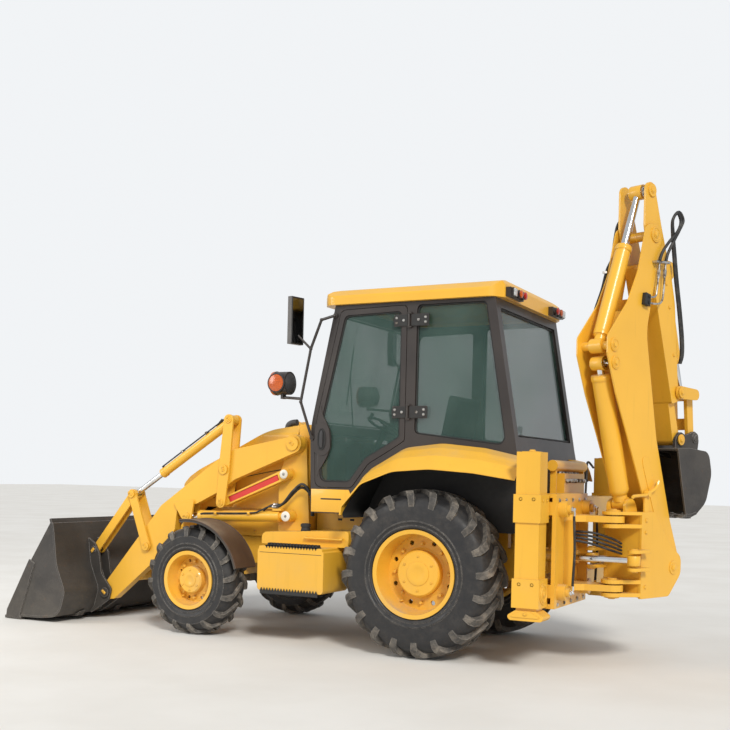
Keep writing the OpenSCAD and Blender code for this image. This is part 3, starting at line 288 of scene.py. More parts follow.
def copies_tree():
    """Copies of a piece in a ring about Axis through Centre, in a row along Step, or both."""
    tree = bpy.data.node_groups.new("copies", "GeometryNodeTree")
    for name, kind in (("Piece", "Geometry"), ("Count", "Int"), ("Centre", "Vector"), ("Axis", "Vector"),
                       ("Turn", "Float"), ("Step", "Vector"), ("Finish", "Material")):
        tree.interface.new_socket(name, in_out="INPUT", socket_type="NodeSocket" + kind)
    tree.interface.new_socket("Copies", in_out="OUTPUT", socket_type="NodeSocketGeometry")

    def add(kind, **settings):
        made = tree.nodes.new(kind)
        for key, value in settings.items():
            setattr(made, key, value)
        return made

    given, result, index = add("NodeGroupInput"), add("NodeGroupOutput"), add("GeometryNodeInputIndex")
    back, shift = add("ShaderNodeVectorMath", operation="SCALE"), add("GeometryNodeTransform")
    back.inputs["Scale"].default_value = -1
    travel = add("ShaderNodeVectorMath", operation="SCALE")
    spot = add("ShaderNodeVectorMath", operation="ADD")
    angle, turn = add("ShaderNodeMath", operation="MULTIPLY"), add("FunctionNodeAxisAngleToRotation")
    points, scatter = add("GeometryNodePoints"), add("GeometryNodeInstanceOnPoints")
    real, coat = add("GeometryNodeRealizeInstances"), add("GeometryNodeSetMaterial")
    for source, out, goal, into in (
            (given, "Centre", back, 0), (back, 0, shift, "Translation"), (given, "Piece", shift, "Geometry"),
            (given, "Step", travel, 0), (index, 0, travel, "Scale"), (given, "Centre", spot, 0),
            (travel, 0, spot, 1), (given, "Count", points, "Count"), (spot, 0, points, "Position"),
            (index, 0, angle, 0), (given, "Turn", angle, 1), (given, "Axis", turn, "Axis"),
            (angle, 0, turn, "Angle"), (points, 0, scatter, "Points"), (shift, 0, scatter, "Instance"),
            (turn, 0, scatter, "Rotation"), (scatter, 0, real, 0), (real, 0, coat, "Geometry"),
            (given, "Finish", coat, "Material"), (coat, 0, result, 0)):
        tree.links.new(source.outputs[out], goal.inputs[into])
    return tree


COPIES = copies_tree()


def copies_of(shape, name, finish, body, count, centre, row=None, smooth=38):
    """One drawn piece, repeated about the axle's line through centre, or along a row by its step."""
    piece = place(shape, name, finish, body, smooth=smooth, fitted=False)
    inputs = {"Count": count, "Centre": tuple(machine @ Vector(centre)), "Axis": (0.0, 1.0, 0.0),
              "Turn": 0.0 if row else 2 * math.pi / count,
              "Step": tuple(machine.to_3x3() @ Vector(row or (0, 0, 0))), "Finish": finish.material}
    step = piece.modifiers.new("repeat", "NODES")
    step.node_group = COPIES
    for item in COPIES.interface.items_tree:
        if item.name in inputs:
            step[item.identifier] = inputs[item.name]
    piece.update_tag()
    mesh = bpy.data.meshes.new_from_object(piece.evaluated_get(bpy.context.evaluated_depsgraph_get()))
    piece.modifiers.remove(step)
    piece.data = mesh
    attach(piece, body)


REAR_AXLE, FRONT_AXLE = (0, 675, 815), (2200, 485, 855)   # x, radius and y of a left wheel's middle
TYRES = {   # x, radius, y, width, rim radius, bars a side, bar height
    "rear": (*REAR_AXLE, 440, 350, 20, 34),
    "front": (*FRONT_AXLE, 310, 255, 16, 25),
}


def tyre_section(r, w, rim_r, tread):
    """Half of the tyre's outside, from the bead to the tread's middle, as (radius, outward)."""
    h = w / 2
    return [(rim_r - 14, h - 32), (rim_r + 8, h - 28), (rim_r + 13, h - 12), (rim_r + 22, h - 5),
            (rim_r + 34, h - 5), (rim_r + 38, h - 10), (rim_r + 60, h - 8), (rim_r + 64, h - 3),
            (rim_r + 70, h - 3), (rim_r + 74, h - 8), ((r + rim_r) / 2 + 20, h - 6), (r - 90, h - 14),
            (r - tread - 42, h - 32), (r - tread - 16, h - 62), (r - tread - 5, h * 0.45), (r - tread, 0)]


def tread_bar(shape, r, w, tread, x, y, z, side):
    """One bar, drawn at the top of the tyre: rows of four points across it along its path."""
    rear = r == REAR_AXLE[1]
    foot = r - (142 if rear else 104)
    path = [(foot, w / 2 - 9, 0.0, 2, 52), (foot + (26 if rear else 8), w / 2 - 9, 0.0, 8, 56),
            (r - 84, w / 2 - 15, 0.0, 14, 62), (r - tread - 30, w / 2 - 36, 0.02, tread * 0.86, 68),
            (r - tread - 10, w / 2 - 62, 0.06, tread * 0.98, 72), (r - tread - 5, w * 0.22, 0.16, tread, 70),
            (r - tread - 1, w * 0.08, 0.27, tread, 66), (r - tread, -8, 0.34, tread - 1, 62)]
    width = r / REAR_AXLE[1]
    rows = []
    for i, (radius, out, along, height, wide) in enumerate(path):
        before, after = path[max(i - 1, 0)], path[min(i + 1, len(path) - 1)]
        slope = Vector((after[0] - before[0], after[1] - before[1])).normalized()
        normal = Vector((-slope[1], slope[0]))
        if normal[0] + normal[1] * 0.6 < 0:
            normal = -normal
        if i == 0:
            normal = Vector((0, 1))
        row = []
        for lift, half in ((-9, wide * 0.56), (height, wide * 0.44), (height, -wide * 0.44),
                           (-9, -wide * 0.56)):
            rr, oo = radius + normal[0] * lift, out + normal[1] * lift
            rr, oo = min(rr, r - 0.5), min(oo, w / 2 - 0.6)
            a = along * 0.85 + half * width / rr
            row.append(shape.verts.new((x + rr * math.sin(a), y + side * oo, z + rr * math.cos(a))))
        rows.append(row)
    for a, b in zip(rows, rows[1:]):
        for k in range(4):
            shape.faces.new((a[k], a[(k + 1) % 4], b[(k + 1) % 4], b[k]))
    shape.faces.new(rows[0])
    shape.faces.new(rows[-1])


for end, (x, r, reach, w, rim_r, bars, tread) in TYRES.items():
    for side, word in SIDES:
        node, body, y = "tyre_%s_%s" % (end, word), "wheel_%s_%s" % (end, word), side * reach
        half = tyre_section(r, w, rim_r, tread)
        shape = bmesh.new()
        inner = [(rim_r + 40, -w / 2 + 80), (rim_r + 40, w / 2 - 80)]
        ring(shape, (x, y, r), half + [(a, -b) for a, b in half[-2::-1]] + inner, 96, closed=True)
        carcass = place(shape, node + "_carcass", rubber, body, smooth=50)
        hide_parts(node)
        shape = bmesh.new()
        pitch = math.pi / bars
        tread_bar(shape, r, w, tread, x, y, r, side)
        staggered = bmesh.new()
        tread_bar(staggered, r, w, tread, x, y, r, -side)
        bmesh.ops.rotate(staggered, verts=staggered.verts, cent=(x, y, r),
                         matrix=Matrix.Rotation(pitch, 3, "Y"))
        other = bpy.data.meshes.new("other_row")
        staggered.to_mesh(other)
        shape.from_mesh(other)
        staggered.free()
        bpy.data.meshes.remove(other)
        bmesh.ops.rotate(shape, verts=shape.verts, cent=(x, y, r),
                         matrix=Matrix.Rotation(0.38 * pitch - 0.017, 3, "Y"))
        copies_of(shape, node + "_tread", tread_rubber, body, bars, (x, y, r), smooth=25)


# Wheels
# Pressed steel rims sprayed yellow, on axles of rough iron. Wheel nuts stand round the hub, and its cap has
# small bolts and a turned groove. A valve comes through each rim.
DUST = (0.42, 0.36, 0.27)


def dusted(finish, colour, rough, film, low_dust):
    """Road dust: a thin film on faces that look up, and more of it near the ground."""
    patch = finish.noise(2.3, 6).between(0.36, 0.7)
    fine = finish.noise(38, 5, 0.7)
    lying = finish.up().between(0.55, 0.95) * film * (0.45 + 0.8 * patch)
    splash = (1.0 - finish.height().between(0.15, 1.15)) * low_dust * (0.35 + 0.9 * patch)
    amount = (lying + splash) * (0.55 + 0.8 * fine)
    finish.put(Base_Color=finish.mix(amount.between(0.0, 1.0), colour, DUST),
               Roughness=rough + 0.35 * amount)


def paint(name, fresh, worn, slot):
    """Sprayed enamel on steel plate: a slight orange peel, uneven depth, scuffs along the edges."""
    finish = Finish(name, slot=slot, Coat_Weight=0.25, Coat_Roughness=0.12, IOR=1.5)
    shade = finish.mix(finish.noise(1.1, 3).between(0.3, 0.7), fresh, tuple(0.9 * c for c in fresh))
    scuff = finish.edge(0.006) * finish.noise(46, 6, 0.75).between(0.5, 0.66)
    streak = finish.noise(3.0, 5, 0.6, stretch=(9, 9, 0.7)).between(0.56, 0.8)
    shade = finish.mix(streak * 0.22, shade, tuple(0.62 * c for c in fresh))
    shade = finish.mix(scuff * 0.75, shade, worn)
    dusted(finish, shade, 0.34 + 0.12 * finish.noise(7, 4), 0.42, 0.34)
    return finish.bump(finish.noise(120, 2) + 3.0 * finish.noise(6, 2), 0.0006, 0.35, soften=0.004)


yellow = paint("yellow_enamel", (0.84, 0.45, 0.035), (0.17, 0.13, 0.1), "yellow_paint")
dress(yellow, "rim_front_left rim_front_right rim_rear_left rim_rear_right")

axle_iron = Finish("axle_iron", slot="dark_paint")
tint = axle_iron.mix(axle_iron.noise(5, 6).between(0.35, 0.7), (0.035, 0.033, 0.031), (0.085, 0.07, 0.055))
dusted(axle_iron, tint, 0.6 + 0.2 * axle_iron.noise(20, 4), 0.5, 0.5)
axle_iron.bump(axle_iron.noise(90, 5), 0.0015, 0.5, soften=0.004)
dress(axle_iron, "axles knuckle_left knuckle_right")


def nut(shape, spot, r, height, axis="Y"):
    """A hexagon head on its washer; height is signed along the axis."""
    s = 1 if height > 0 else -1
    ring(shape, spot, [(0, 0), (r * 1.35, 0), (r * 1.35, 3 * s), (0, 3 * s)], 20, axis)
    ring(shape, spot, [(0, 2 * s), (r, 2 * s), (r, height - 2 * s), (r * 0.86, height), (0, height)], 6,
         axis)


NUT_FACE, CAP_FACE = 24, 111   # out from the wheel's middle
for side, word in SIDES:
    for (x, z, y), hub, nut_circle, body in ((REAR_AXLE, 185, 236, "wheel_rear_" + word),
                                             (FRONT_AXLE, 120, 160, "wheel_front_" + word)):
        shape = bmesh.new()
        nut(shape, (x, side * (y + NUT_FACE), z + nut_circle), 15, side * 26)
        copies_of(shape, body + "_nuts", yellow, body, 8, (x, side * y, z))
        shape = bmesh.new()
        nut(shape, (x, side * (y + CAP_FACE), z + hub * 0.74), 8, side * 8)
        copies_of(shape, body + "_hub_bolts", yellow, body, 6, (x, side * y, z))
        shape = bmesh.new()
        cap = y + CAP_FACE
        ring(shape, (x, 0, z), [(hub * 0.52, cap), (hub * 0.52, cap + 5), (hub * 0.46, cap + 7),
                                (hub * 0.3, cap + 7), (hub * 0.26, cap + 4), (0, cap + 4)], 48, side=side)
        ring(shape, (x + hub * 0.9, 0, z - hub * 1.25), [(0, y + 20), (9, y + 20), (9, y + 60), (6, y + 66),
                                                         (0, y + 66)], 14, side=side)
        place(shape, body + "_cap", yellow, body)


# Cab inside
# A padded seat on a bellows base, a dash with a column and wheel, and a rear console with two levers
# stand for the plain block of the source.
plastic = Finish("cab_plastic", slot="cab_plastic")
faded = plastic.noise(5, 4).between(0.3, 0.7)
plastic.put(Base_Color=plastic.mix(faded, (0.028, 0.028, 0.03), (0.05, 0.049, 0.05)),
            Roughness=0.55 + 0.15 * plastic.noise(11, 3))
plastic.bump(plastic.cells(330.0), 0.0006, 0.5, soften=0.004)
dress(plastic, "cab_interior")


def turned(at, spot, degrees, axis="Y"):
    """A place of its own within another: moved to spot, then turned."""
    return at @ Matrix.Translation(spot) @ Matrix.Rotation(math.radians(degrees), 4, axis)


def slab(shape, outline, y0, y1):
    """A side view [x, z] drawn out across the machine."""
    near = [shape.verts.new((x, y1, z)) for x, z in outline]
    far = [shape.verts.new((x, y0, z)) for x, z in outline]
    shape.faces.new(near)
    shape.faces.new(far[::-1])
    for i in range(len(outline)):
        j = (i + 1) % len(outline)
        shape.faces.new((near[i], far[i], far[j], near[j]))


def brick(shape, x0, x1, y0, y1, z0, z1):
    """A box between its faces."""
    slab(shape, [(x0, z0), (x1, z0), (x1, z1), (x0, z1)], y0, y1)


def span(middle, half):
    """The two faces of a plate about its middle."""
    return middle - half, middle + half


def circle(steps):
    """The cosine and sine of each step round a circle."""
    return [(math.cos(a), math.sin(a)) for a in (2 * math.pi * k / steps for k in range(steps))]


def eased(shape, radius, segments=2):
    """Rounds every edge drawn so far."""
    bmesh.ops.bevel(shape, geom=list(shape.edges), offset=radius, segments=segments, profile=0.5,
                    affect="EDGES", clamp_overlap=True)


def curve_through(points, steps=8):
    """A smooth line through points."""
    spots = [Vector(p) for p in points]
    ends = [2 * spots[0] - spots[1]] + spots + [2 * spots[-1] - spots[-2]]
    line = []
    for a, b, c, d in zip(ends, ends[1:], ends[2:], ends[3:]):
        for i in range(steps):
            t = i / steps
            line.append(0.5 * (2 * b + (c - a) * t + (2 * a - 5 * b + 4 * c - d) * t * t
                               + (3 * b - a - 3 * c + d) * t ** 3))
    return line + [spots[-1]]


def tube(shape, line, radius, sides, closed=False):
    """A round tube along a line; an open one gets flat ends."""
    line = [Vector(p) for p in line]
    count = len(line)
    rows, across = [], None
    for i, spot in enumerate(line):
        ahead = line[(i + 1) % count] if closed or i < count - 1 else spot
        behind = line[i - 1] if closed or i else spot
        along = (ahead - behind).normalized()
        across = (across - along * across.dot(along) if across else along.orthogonal()).normalized()
        side = along.cross(across)
        rows.append([shape.verts.new(spot + radius * (across * c + side * s)) for c, s in circle(sides)])
    for a, b in list(zip(rows, rows[1:])) + ([(rows[-1], rows[0])] if closed else []):
        for k in range(sides):
            shape.faces.new((a[k], a[(k + 1) % sides], b[(k + 1) % sides], b[k]))
    if not closed:
        shape.faces.new(rows[0][::-1])
        shape.faces.new(rows[-1])


shape = bmesh.new()
slab(shape, [(175, 1492), (535, 1500), (548, 1520), (552, 1580), (540, 1602), (190, 1585)], -240, 240)
eased(shape, 22, 4)
cushion = place(shape, "seat_cushion", plastic, "machine", smooth=60)
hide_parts("cab_interior")
shape = bmesh.new()
slab(shape, [(60, 1500), (165, 1505), (172, 1600), (66, 2130), (50, 2148), (-25, 2130), (-38, 2105)],
     -235, 235)
eased(shape, 26, 4)
place(shape, "seat_back", plastic, "machine", smooth=60)
shape = bmesh.new()
brick(shape, 62, 458, -248, 248, 1161, 1288)
eased(shape, 12)
ring(shape, (250, 0, 0), [(150, 1286)] + [(150 + (22 if i % 2 else -6), 1300 + i * 17) for i in range(11)]
     + [(150, 1490)], 28, "Z")
for side in (1, -1):
    slab(shape, [(40, 1560), (130, 1560), (180, 1700), (420, 1712), (420, 1748), (120, 1745)],
         *span(side * 262, 18))
place(shape, "seat_base", plastic)

shape = bmesh.new()
dash_top = [(1008, 1690), (990, 1706), (886, 1736), (866, 1726)]
for foot, y0, y1 in (([(842, 1162), (998, 1162)], 180, 318), ([(842, 1162), (998, 1162)], -318, -180),
                     ([(856, 1500), (998, 1500)], -184, 184)):
    slab(shape, foot + dash_top, y0, y1)
for y in (-240, -120, 120, 240):
    ring(shape, (852, y, 1668), [(0, -6), (34, -6), (34, 4), (28, 4), (26, 0), (0, 0)], 20, "X")
place(shape, "dash", plastic)
column = turned(machine, (890, 0, 1660), -30)
shape = bmesh.new()
ring(shape, (0, 0, 0), [(0, -40), (46, -40), (42, 60), (28, 90), (28, 244), (44, 250), (44, 262),
                        (30, 270), (0, 272)], 28, "Z")
rim = [(188 + 12 * c, 253 + 12 * s) for c, s in circle(10)]
ring(shape, (0, 0, 0), rim, 48, "Z", closed=True)
for a in (90, 210, 330):
    c, s = math.cos(math.radians(a)), math.sin(math.radians(a))
    tube(shape, [(40 * c, 40 * s, 256), (182 * c, 182 * s, 253)], 9, 8)
tube(shape, [(130, 130, 262), (130, 130, 320)], 17, 12)
place(shape, "steering_wheel", plastic, at=column)
shape = bmesh.new()
slab(shape, [(-600, 1162), (-424, 1162), (-404, 1556), (-424, 1590), (-448, 1598), (-646, 1598)], -348, 348)
eased(shape, 10)
for side in (1, -1):
    tube(shape, [(-500, side * 160, 1590), (-470, side * 160, 1730), (-446, side * 160, 1850)], 9, 10)
    ring(shape, (-440, side * 160, 0), [(0, 1840), (20, 1842), (26, 1870), (22, 1896), (0, 1902)], 16, "Z")
    ring(shape, (-498, side * 160, 0), [(52, 1597), (44, 1612), (48, 1616), (36, 1632), (38, 1636),
                                        (12, 1660), (0, 1660)], 18, "Z")
place(shape, "rear_console", plastic)


# Windows and door
# Black rubber seals round every pane, a latch in its oval recess, black hinge plates with
# bolts, and a wiper on the windscreen.
dark = Finish("dark_cab_enamel", slot="frame_paint", Coat_Weight=0.15, Coat_Roughness=0.25)
tint = dark.mix(dark.noise(2.2, 4).between(0.3, 0.7), (0.026, 0.02, 0.018), (0.038, 0.03, 0.026))
tint = dark.mix(dark.edge(0.004) * 0.3, tint, (0.12, 0.1, 0.085))
dusted(dark, tint, 0.36 + 0.1 * dark.noise(9, 3), 0.25, 0.12)
dark.bump(dark.noise(150, 2), 0.0005, 0.3, soften=0.003)
dress(dark, "cab_frame door")

glass = Finish("tinted_glass", slot="window_glass", Coat_Weight=0.6, Coat_Roughness=0.02, IOR=1.5)
film = glass.noise(1.7, 5).between(0.35, 0.75)
glass.put(Base_Color=glass.mix(film, (0.03, 0.075, 0.06), (0.06, 0.115, 0.095)),
          Roughness=0.03 + 0.06 * film, Alpha=0.42 + 0.14 * film)
dress(glass, "cab_glass door_glass")

seal = Finish("rubber_seal", slot="cab_plastic")
seal.put(Base_Color=seal.mix(seal.noise(30, 4), (0.012, 0.012, 0.012), (0.03, 0.029, 0.028)),
         Roughness=0.55 + 0.2 * seal.noise(60, 3))
seal.bump(seal.noise(200, 2), 0.0004, 0.4)

pin_steel = Finish("pin_steel", metallic=0.85, slot="pin_steel")
grime = pin_steel.noise(22, 5).between(0.42, 0.68)
pin_steel.put(Base_Color=pin_steel.mix(grime, (0.55, 0.54, 0.52), (0.13, 0.1, 0.075)),
              Roughness=0.32 + 0.3 * grime)
pin_steel.bump(pin_steel.noise(180, 3), 0.0004, 0.4, soften=0.003)

EAVE = 2875
DOOR_LINE = [(824, EAVE - 45, 50), (1062, 1830, 900), (1046, 1340, 60), (700, 1340, 60), (545, 1545, 160),
             (330, 1668, 200), (215, 1740, 30), (215, EAVE - 30, 40)]
REAR_SIDE_LINE = [(125, EAVE - 30, 40), (128, 1795, 40), (-668, 1702, 60), (-478, EAVE - 30, 40)]


def set_off(line, distance):
    """A closed line of (x, z, corner radius), set outward."""
    moved = []
    for a, b, c in zip(line[-1:] + line[:-1], line, line[1:] + line[:1]):
        u, w = (Vector(b[:2]) - Vector(a[:2])).normalized(), (Vector(c[:2]) - Vector(b[:2])).normalized()
        nu, nw = Vector((-u[1], u[0])), Vector((-w[1], w[0]))
        spot = Vector(b[:2]) + distance * (nu + nw) / (1 + nu.dot(nw))
        moved.append((spot[0], spot[1], b[2]))
    return moved


def rounded(line, steps=6):
    """A closed line of (x, z, corner radius) as points, each corner an arc."""
    points = []
    for a, b, c in zip(line[-1:] + line[:-1], line, line[1:] + line[:1]):
        a, r, b, c = Vector(a[:2]), b[2], Vector(b[:2]), Vector(c[:2])
        u, w = (a - b).normalized(), (c - b).normalized()
        half = u.angle(w) / 2
        middle = b + (u + w).normalized() * r / math.sin(half)
        start, end = b + u * r / math.tan(half) - middle, b + w * r / math.tan(half) - middle
        points += [middle + Matrix.Rotation(math.atan2(start[0] * end[1] - start[1] * end[0], start.dot(end))
                                            * i / steps, 2) @ start for i in range(steps + 1)]
    return points


for name, line, y, body in (("door_seal", set_off(DOOR_LINE, -50), 768, "door"),
                            ("side_seal", set_off(DOOR_LINE, -31), -760, "machine"),
                            ("rear_side_seal_left", set_off(REAR_SIDE_LINE, -6), 760, "machine"),
                            ("rear_side_seal_right", set_off(REAR_SIDE_LINE, -6), -760, "machine")):
    shape = bmesh.new()
    tube(shape, [(p[0], y, p[1]) for p in rounded(line)], 8, 8, closed=True)
    place(shape, name, seal, body)
for name, low_spot, high_spot, out in (("windscreen", (1055, 1884), (866, EAVE - 79), 8),
                                       ("lower_windscreen", (1058, 1262), (1069, 1798), 8),
                                       ("rear_window", (-702, 1779), (-530, EAVE - 79), -8)):
    shape = bmesh.new()
    (x0, z0), (x1, z1) = low_spot, high_spot
    tube(shape, curve_through([(x0 + out, -682, z0 + 8), (x0 + out, 682, z0 + 8), (x1 + out, 682, z1 - 8),
                               (x1 + out, -682, z1 - 8)], 1), 9, 8, closed=True)
    place(shape, name + "_seal", seal)
    if name == "windscreen":
        shape = bmesh.new()
        t = Vector((x1 - x0, 0, z1 - z0)).normalized()
        base = Vector((x0 + out * 2.2, 60, z0 - 20))
        ring(shape, base, [(0, -14), (22, -14), (22, 10), (12, 16), (0, 16)], 16, "X")
        tip = base + t * 470 + Vector((out, 250, 0))
        tube(shape, [base + Vector((out, 0, 0)), tip], 6, 8)
        tube(shape, [tip - t * 260 - Vector((0, 40, 0)), tip + t * 260 + Vector((0, 40, 0))], 7, 8)
        place(shape, name + "_wiper", seal)

shape = bmesh.new()
swell = [(1000, 2040), (985, 1950), (935, 1860), (905, 1760), (915, 1650), (960, 1555), (1010, 1480),
         (1026, 1430)]
slab(shape, [(p[0], p[1]) for p in curve_through([(x, z, 0) for x, z in swell], 5)]
     + [(1030, 1440), (1036, 1600), (1036, 1750), (1020, 1880), (1004, 1990)], 764.5, 785)
eased(shape, 3, 2)
place(shape, "latch_swell", dark, "door")
shape = bmesh.new()
oval = [(988 + 36 * c, 791, 1744 + 88 * s) for c, s in circle(32)]
tube(shape, oval, 6, 8, closed=True)
slab(shape, [(x, z) for x, _, z in oval[::-1]], 788, 791.5)
place(shape, "latch_recess", seal, "door")
shape = bmesh.new()
slab(shape, [(974, 1672), (1000, 1672), (1004, 1700), (1004, 1800), (994, 1820), (978, 1820),
             (972, 1800)], 792, 803)
eased(shape, 4)
place(shape, "latch_paddle", plastic, "door")

for i, z in enumerate((1970, EAVE - 155)):
    for body, x0, x1 in (("door", 206, 330), ("machine", 12, 166)):
        shape = bmesh.new()
        ends = (6, 42) if body == "door" else (42, 6)
        plate = [(x0, z - 46, ends[0]), (x1, z - 46, ends[1]), (x1, z + 46, ends[1]), (x0, z + 46, ends[0])]
        slab(shape, [tuple(p) for p in rounded(plate, 8)], 788, 794)
        eased(shape, 2, 1)
        place(shape, "hinge_plate_%s_%d" % (body, i), seal, body)
        shape = bmesh.new()
        outer, inner = (302, 238) if body == "door" else (42, 106)
        for x, dz in ((outer, -20), (outer, 20), (inner, 0)):
            nut(shape, (x, 794, z + dz), 8, 6)
        place(shape, "hinge_bolts_%s_%d" % (body, i), pin_steel, body)


# Lamps and mirrors
# Faceted lenses on the rear clusters and the indicators, an orange lens with a rim on each work lamp, and
# silvered plates with dark shells on the mirrors.
dress(dark, "lamps_mirrors")


def lens_finish(name, colour, roughness=0.12):
    """A coloured lens with facets pressed into it."""
    made = Finish(name, slot="cab_plastic", Coat_Weight=0.5, Coat_Roughness=0.05)
    facets = made.cells(90.0)
    deep = tuple(0.55 * c for c in colour)
    made.put(Base_Color=made.mix(facets.between(0.0, 0.35), deep, colour),
             Roughness=roughness + 0.15 * made.noise(20, 3))
    return made.bump(facets, 0.002, 0.5)


orange_lens = lens_finish("orange_lens", (0.72, 0.13, 0.012))
red_lens = lens_finish("red_lens", (0.6, 0.02, 0.012))
clear_lens = lens_finish("clear_lens", (0.75, 0.77, 0.76), 0.05)
mirror_silver = Finish("mirror_silver", metallic=1.0, slot="rod_chrome")
haze = mirror_silver.noise(4, 4).between(0.4, 0.8)
mirror_silver.put(Base_Color=mirror_silver.mix(haze, (0.12, 0.125, 0.13), (0.08, 0.08, 0.08)),
                  Roughness=0.04 + 0.1 * haze)

for side, word in SIDES:
    shape = bmesh.new()
    ring(shape, (1370, side * 800, 2225), [(0, 92), (80, 88), (92, 82), (97, 66), (103, 66), (103, 90),
                                           (97, 90), (95, 74)], 40, "X")
    place(shape, "work_lamp_lens_" + word, orange_lens)
    shape = bmesh.new()
    tube(shape, [(1436, side * 800 + 98 * c, 2225 + 98 * s) for c, s in circle(40)], 7, 8, closed=True)
    ring(shape, (1370, side * 800, 2225), [(0, -96), (34, -92), (66, -80), (88, -64), (88, -60)], 32, "X")
    place(shape, "work_lamp_rim_" + word, plastic)
    shape = bmesh.new()
    ring(shape, (1386, 0, 2222), [(0, 870), (84, 870), (84, 906), (76, 908), (72, 900)], 36, side=side)
    place(shape, "indicator_shell_" + word, plastic)
    shape = bmesh.new()
    ring(shape, (1386, 0, 2222), [(74, 900), (72, 908), (50, 916), (20, 920), (0, 920)], 36, side=side)
    place(shape, "indicator_lens_" + word, orange_lens)
    for y, finish in ((430, red_lens), (530, orange_lens)):
        shape = bmesh.new()
        ring(shape, (-673, side * y, EAVE + 48), [(30, 4), (31, 0), (30, -5), (22, -10), (10, -13),
                                                  (0, -14)], 28, "X")
        place(shape, "rear_lamp_%s_%d" % (word, y), finish)
    shape = bmesh.new()
    brick(shape, -668, -657, *span(side * 635, 32), EAVE + 18, EAVE + 78)
    eased(shape, 4)
    place(shape, "reversing_lamp_" + word, clear_lens)
    turn = turned(machine, (1189, side * 925, 2740), -12 * side, "Z")
    shape = bmesh.new()
    brick(shape, -25, -21, -66, 66, -188, 188)
    eased(shape, 1.5, 1)
    place(shape, "mirror_plate_" + word, mirror_silver, at=turn)
    shape = bmesh.new()
    tube(shape, [(-22, -69, -193), (-22, 69, -193), (-22, 69, 193), (-22, -69, 193)], 6, 8, closed=True)
    slab(shape, [(20, -150), (34, -120), (36, 0), (34, 120), (20, 150)], -50, 50)
    place(shape, "mirror_shell_" + word, plastic, at=turn)


# Loader
# White caps with a bolt on the lift ram's and link's pins, keepers with bolts on the other pins, a red strip
# on each levelling link, pipes on the rams, and hoses that loop over from the frame to the lift rams.
dress(yellow, "loader_arms lift_barrels levelling_links lever_pins link_pins tilt_levers tilt_barrels "
              "front_levers bucket_links")

chrome = Finish("rod_chrome", metallic=1.0, slot="rod_chrome")
smear = chrome.noise(14, 4, stretch=(1, 1, 0.4)).between(0.4, 0.75)
chrome.put(Base_Color=chrome.mix(smear * 0.5, (0.78, 0.79, 0.8), (0.5, 0.48, 0.44)),
           Roughness=0.1 + 0.16 * smear)
chrome.bump(chrome.noise(300, 2), 0.0002, 0.1)
dress(chrome, "lift_rods tilt_rods")

bucket_steel = Finish("bucket_steel", slot="bucket_paint")
rub = bucket_steel.noise(5, 6, 0.65, stretch=(1, 0.35, 1)).between(0.46, 0.68)
tint = bucket_steel.mix(bucket_steel.noise(1.6, 4).between(0.3, 0.7), (0.028, 0.025, 0.023),
                        (0.052, 0.046, 0.041))
tint = bucket_steel.mix(rub * 0.4, tint, (0.12, 0.108, 0.096))
tint = bucket_steel.mix(bucket_steel.edge(0.008) * 0.7, tint, (0.34, 0.32, 0.3))
rust = bucket_steel.noise(9, 7, 0.7).between(0.6, 0.74)
tint = bucket_steel.mix(rust * 0.35, tint, (0.16, 0.07, 0.03))
dusted(bucket_steel, tint, 0.46 + 0.2 * bucket_steel.noise(30, 4), 0.35, 0.16)
bucket_steel.put(Metallic=0.35 * rub)
bucket_steel.bump(bucket_steel.noise(40, 6, 0.7) + 2 * rub, 0.002, 0.5, soften=0.005)
dress(bucket_steel, "loader_bucket bucket_pins")

hose_rubber = Finish("hose_rubber", slot="dark_paint")
braid = hose_rubber.noise(420, 2)
soiled = hose_rubber.noise(18, 4).between(0.4, 0.75)
hose_rubber.put(Base_Color=hose_rubber.mix(soiled, (0.016, 0.016, 0.017), (0.06, 0.055, 0.048)),
                Roughness=0.5 + 0.15 * braid)
hose_rubber.bump(braid, 0.0005, 0.5)

white_cap = Finish("white_cap", slot="yellow_paint", Coat_Weight=0.2)
tint = white_cap.mix(white_cap.noise(9, 4).between(0.3, 0.7), (0.78, 0.76, 0.7), (0.62, 0.59, 0.5))
dusted(white_cap, tint, 0.4 + 0.1 * white_cap.noise(12, 3), 0.3, 0.3)
white_cap.bump(white_cap.noise(90, 3), 0.0005, 0.3)
red_strip = paint("red_strip", (0.62, 0.03, 0.02), (0.2, 0.08, 0.05), "yellow_paint")
ARM_PIVOT, LINK_PIVOT, LIFT_BASE, LIFT_EYE = (1360, 1710), (1440, 1440), (1410, 1070), (2480, 1035)
LEVER_PIVOT, LEVER_FOOT, LEVER_HEAD = (2070, 1470), (2100, 1170), (2030, 1920)
FRONT_PIVOT, FRONT_HEAD, BUCKET_TOP, BUCKET_PIVOT = (2940, 730), (3120, 1220), (3570, 670), (3410, 264)


def hose(name, points, radius, body="machine", at=machine, towards=None, start=None, end=None):
    """A free hose through points; given towards, it rides on no body and keeps its place in its mesh."""
    line = curve_through(points)
    shape = bmesh.new()
    tube(shape, line, radius, 10)
    piece = place(shape, name, hose_rubber, body, at, smooth=60, fitted=towards is None)
    if towards:
        tuple(at @ Vector(start))
        tuple(at @ Vector(end))
        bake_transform(piece)
    path = [at @ p for p in line]
    sum((b - a).length for a, b in zip(path, path[1:]))


def collar(shape, spot, direction, radius, long):
    """A hexagon fitting on a hose's end."""
    along = Vector(direction).normalized() * long / 2
    tube(shape, [Vector(spot) - along, Vector(spot) + along], radius, 6)
    tube(shape, [Vector(spot) - along * 1.7, Vector(spot) - along], radius * 0.72, 10)


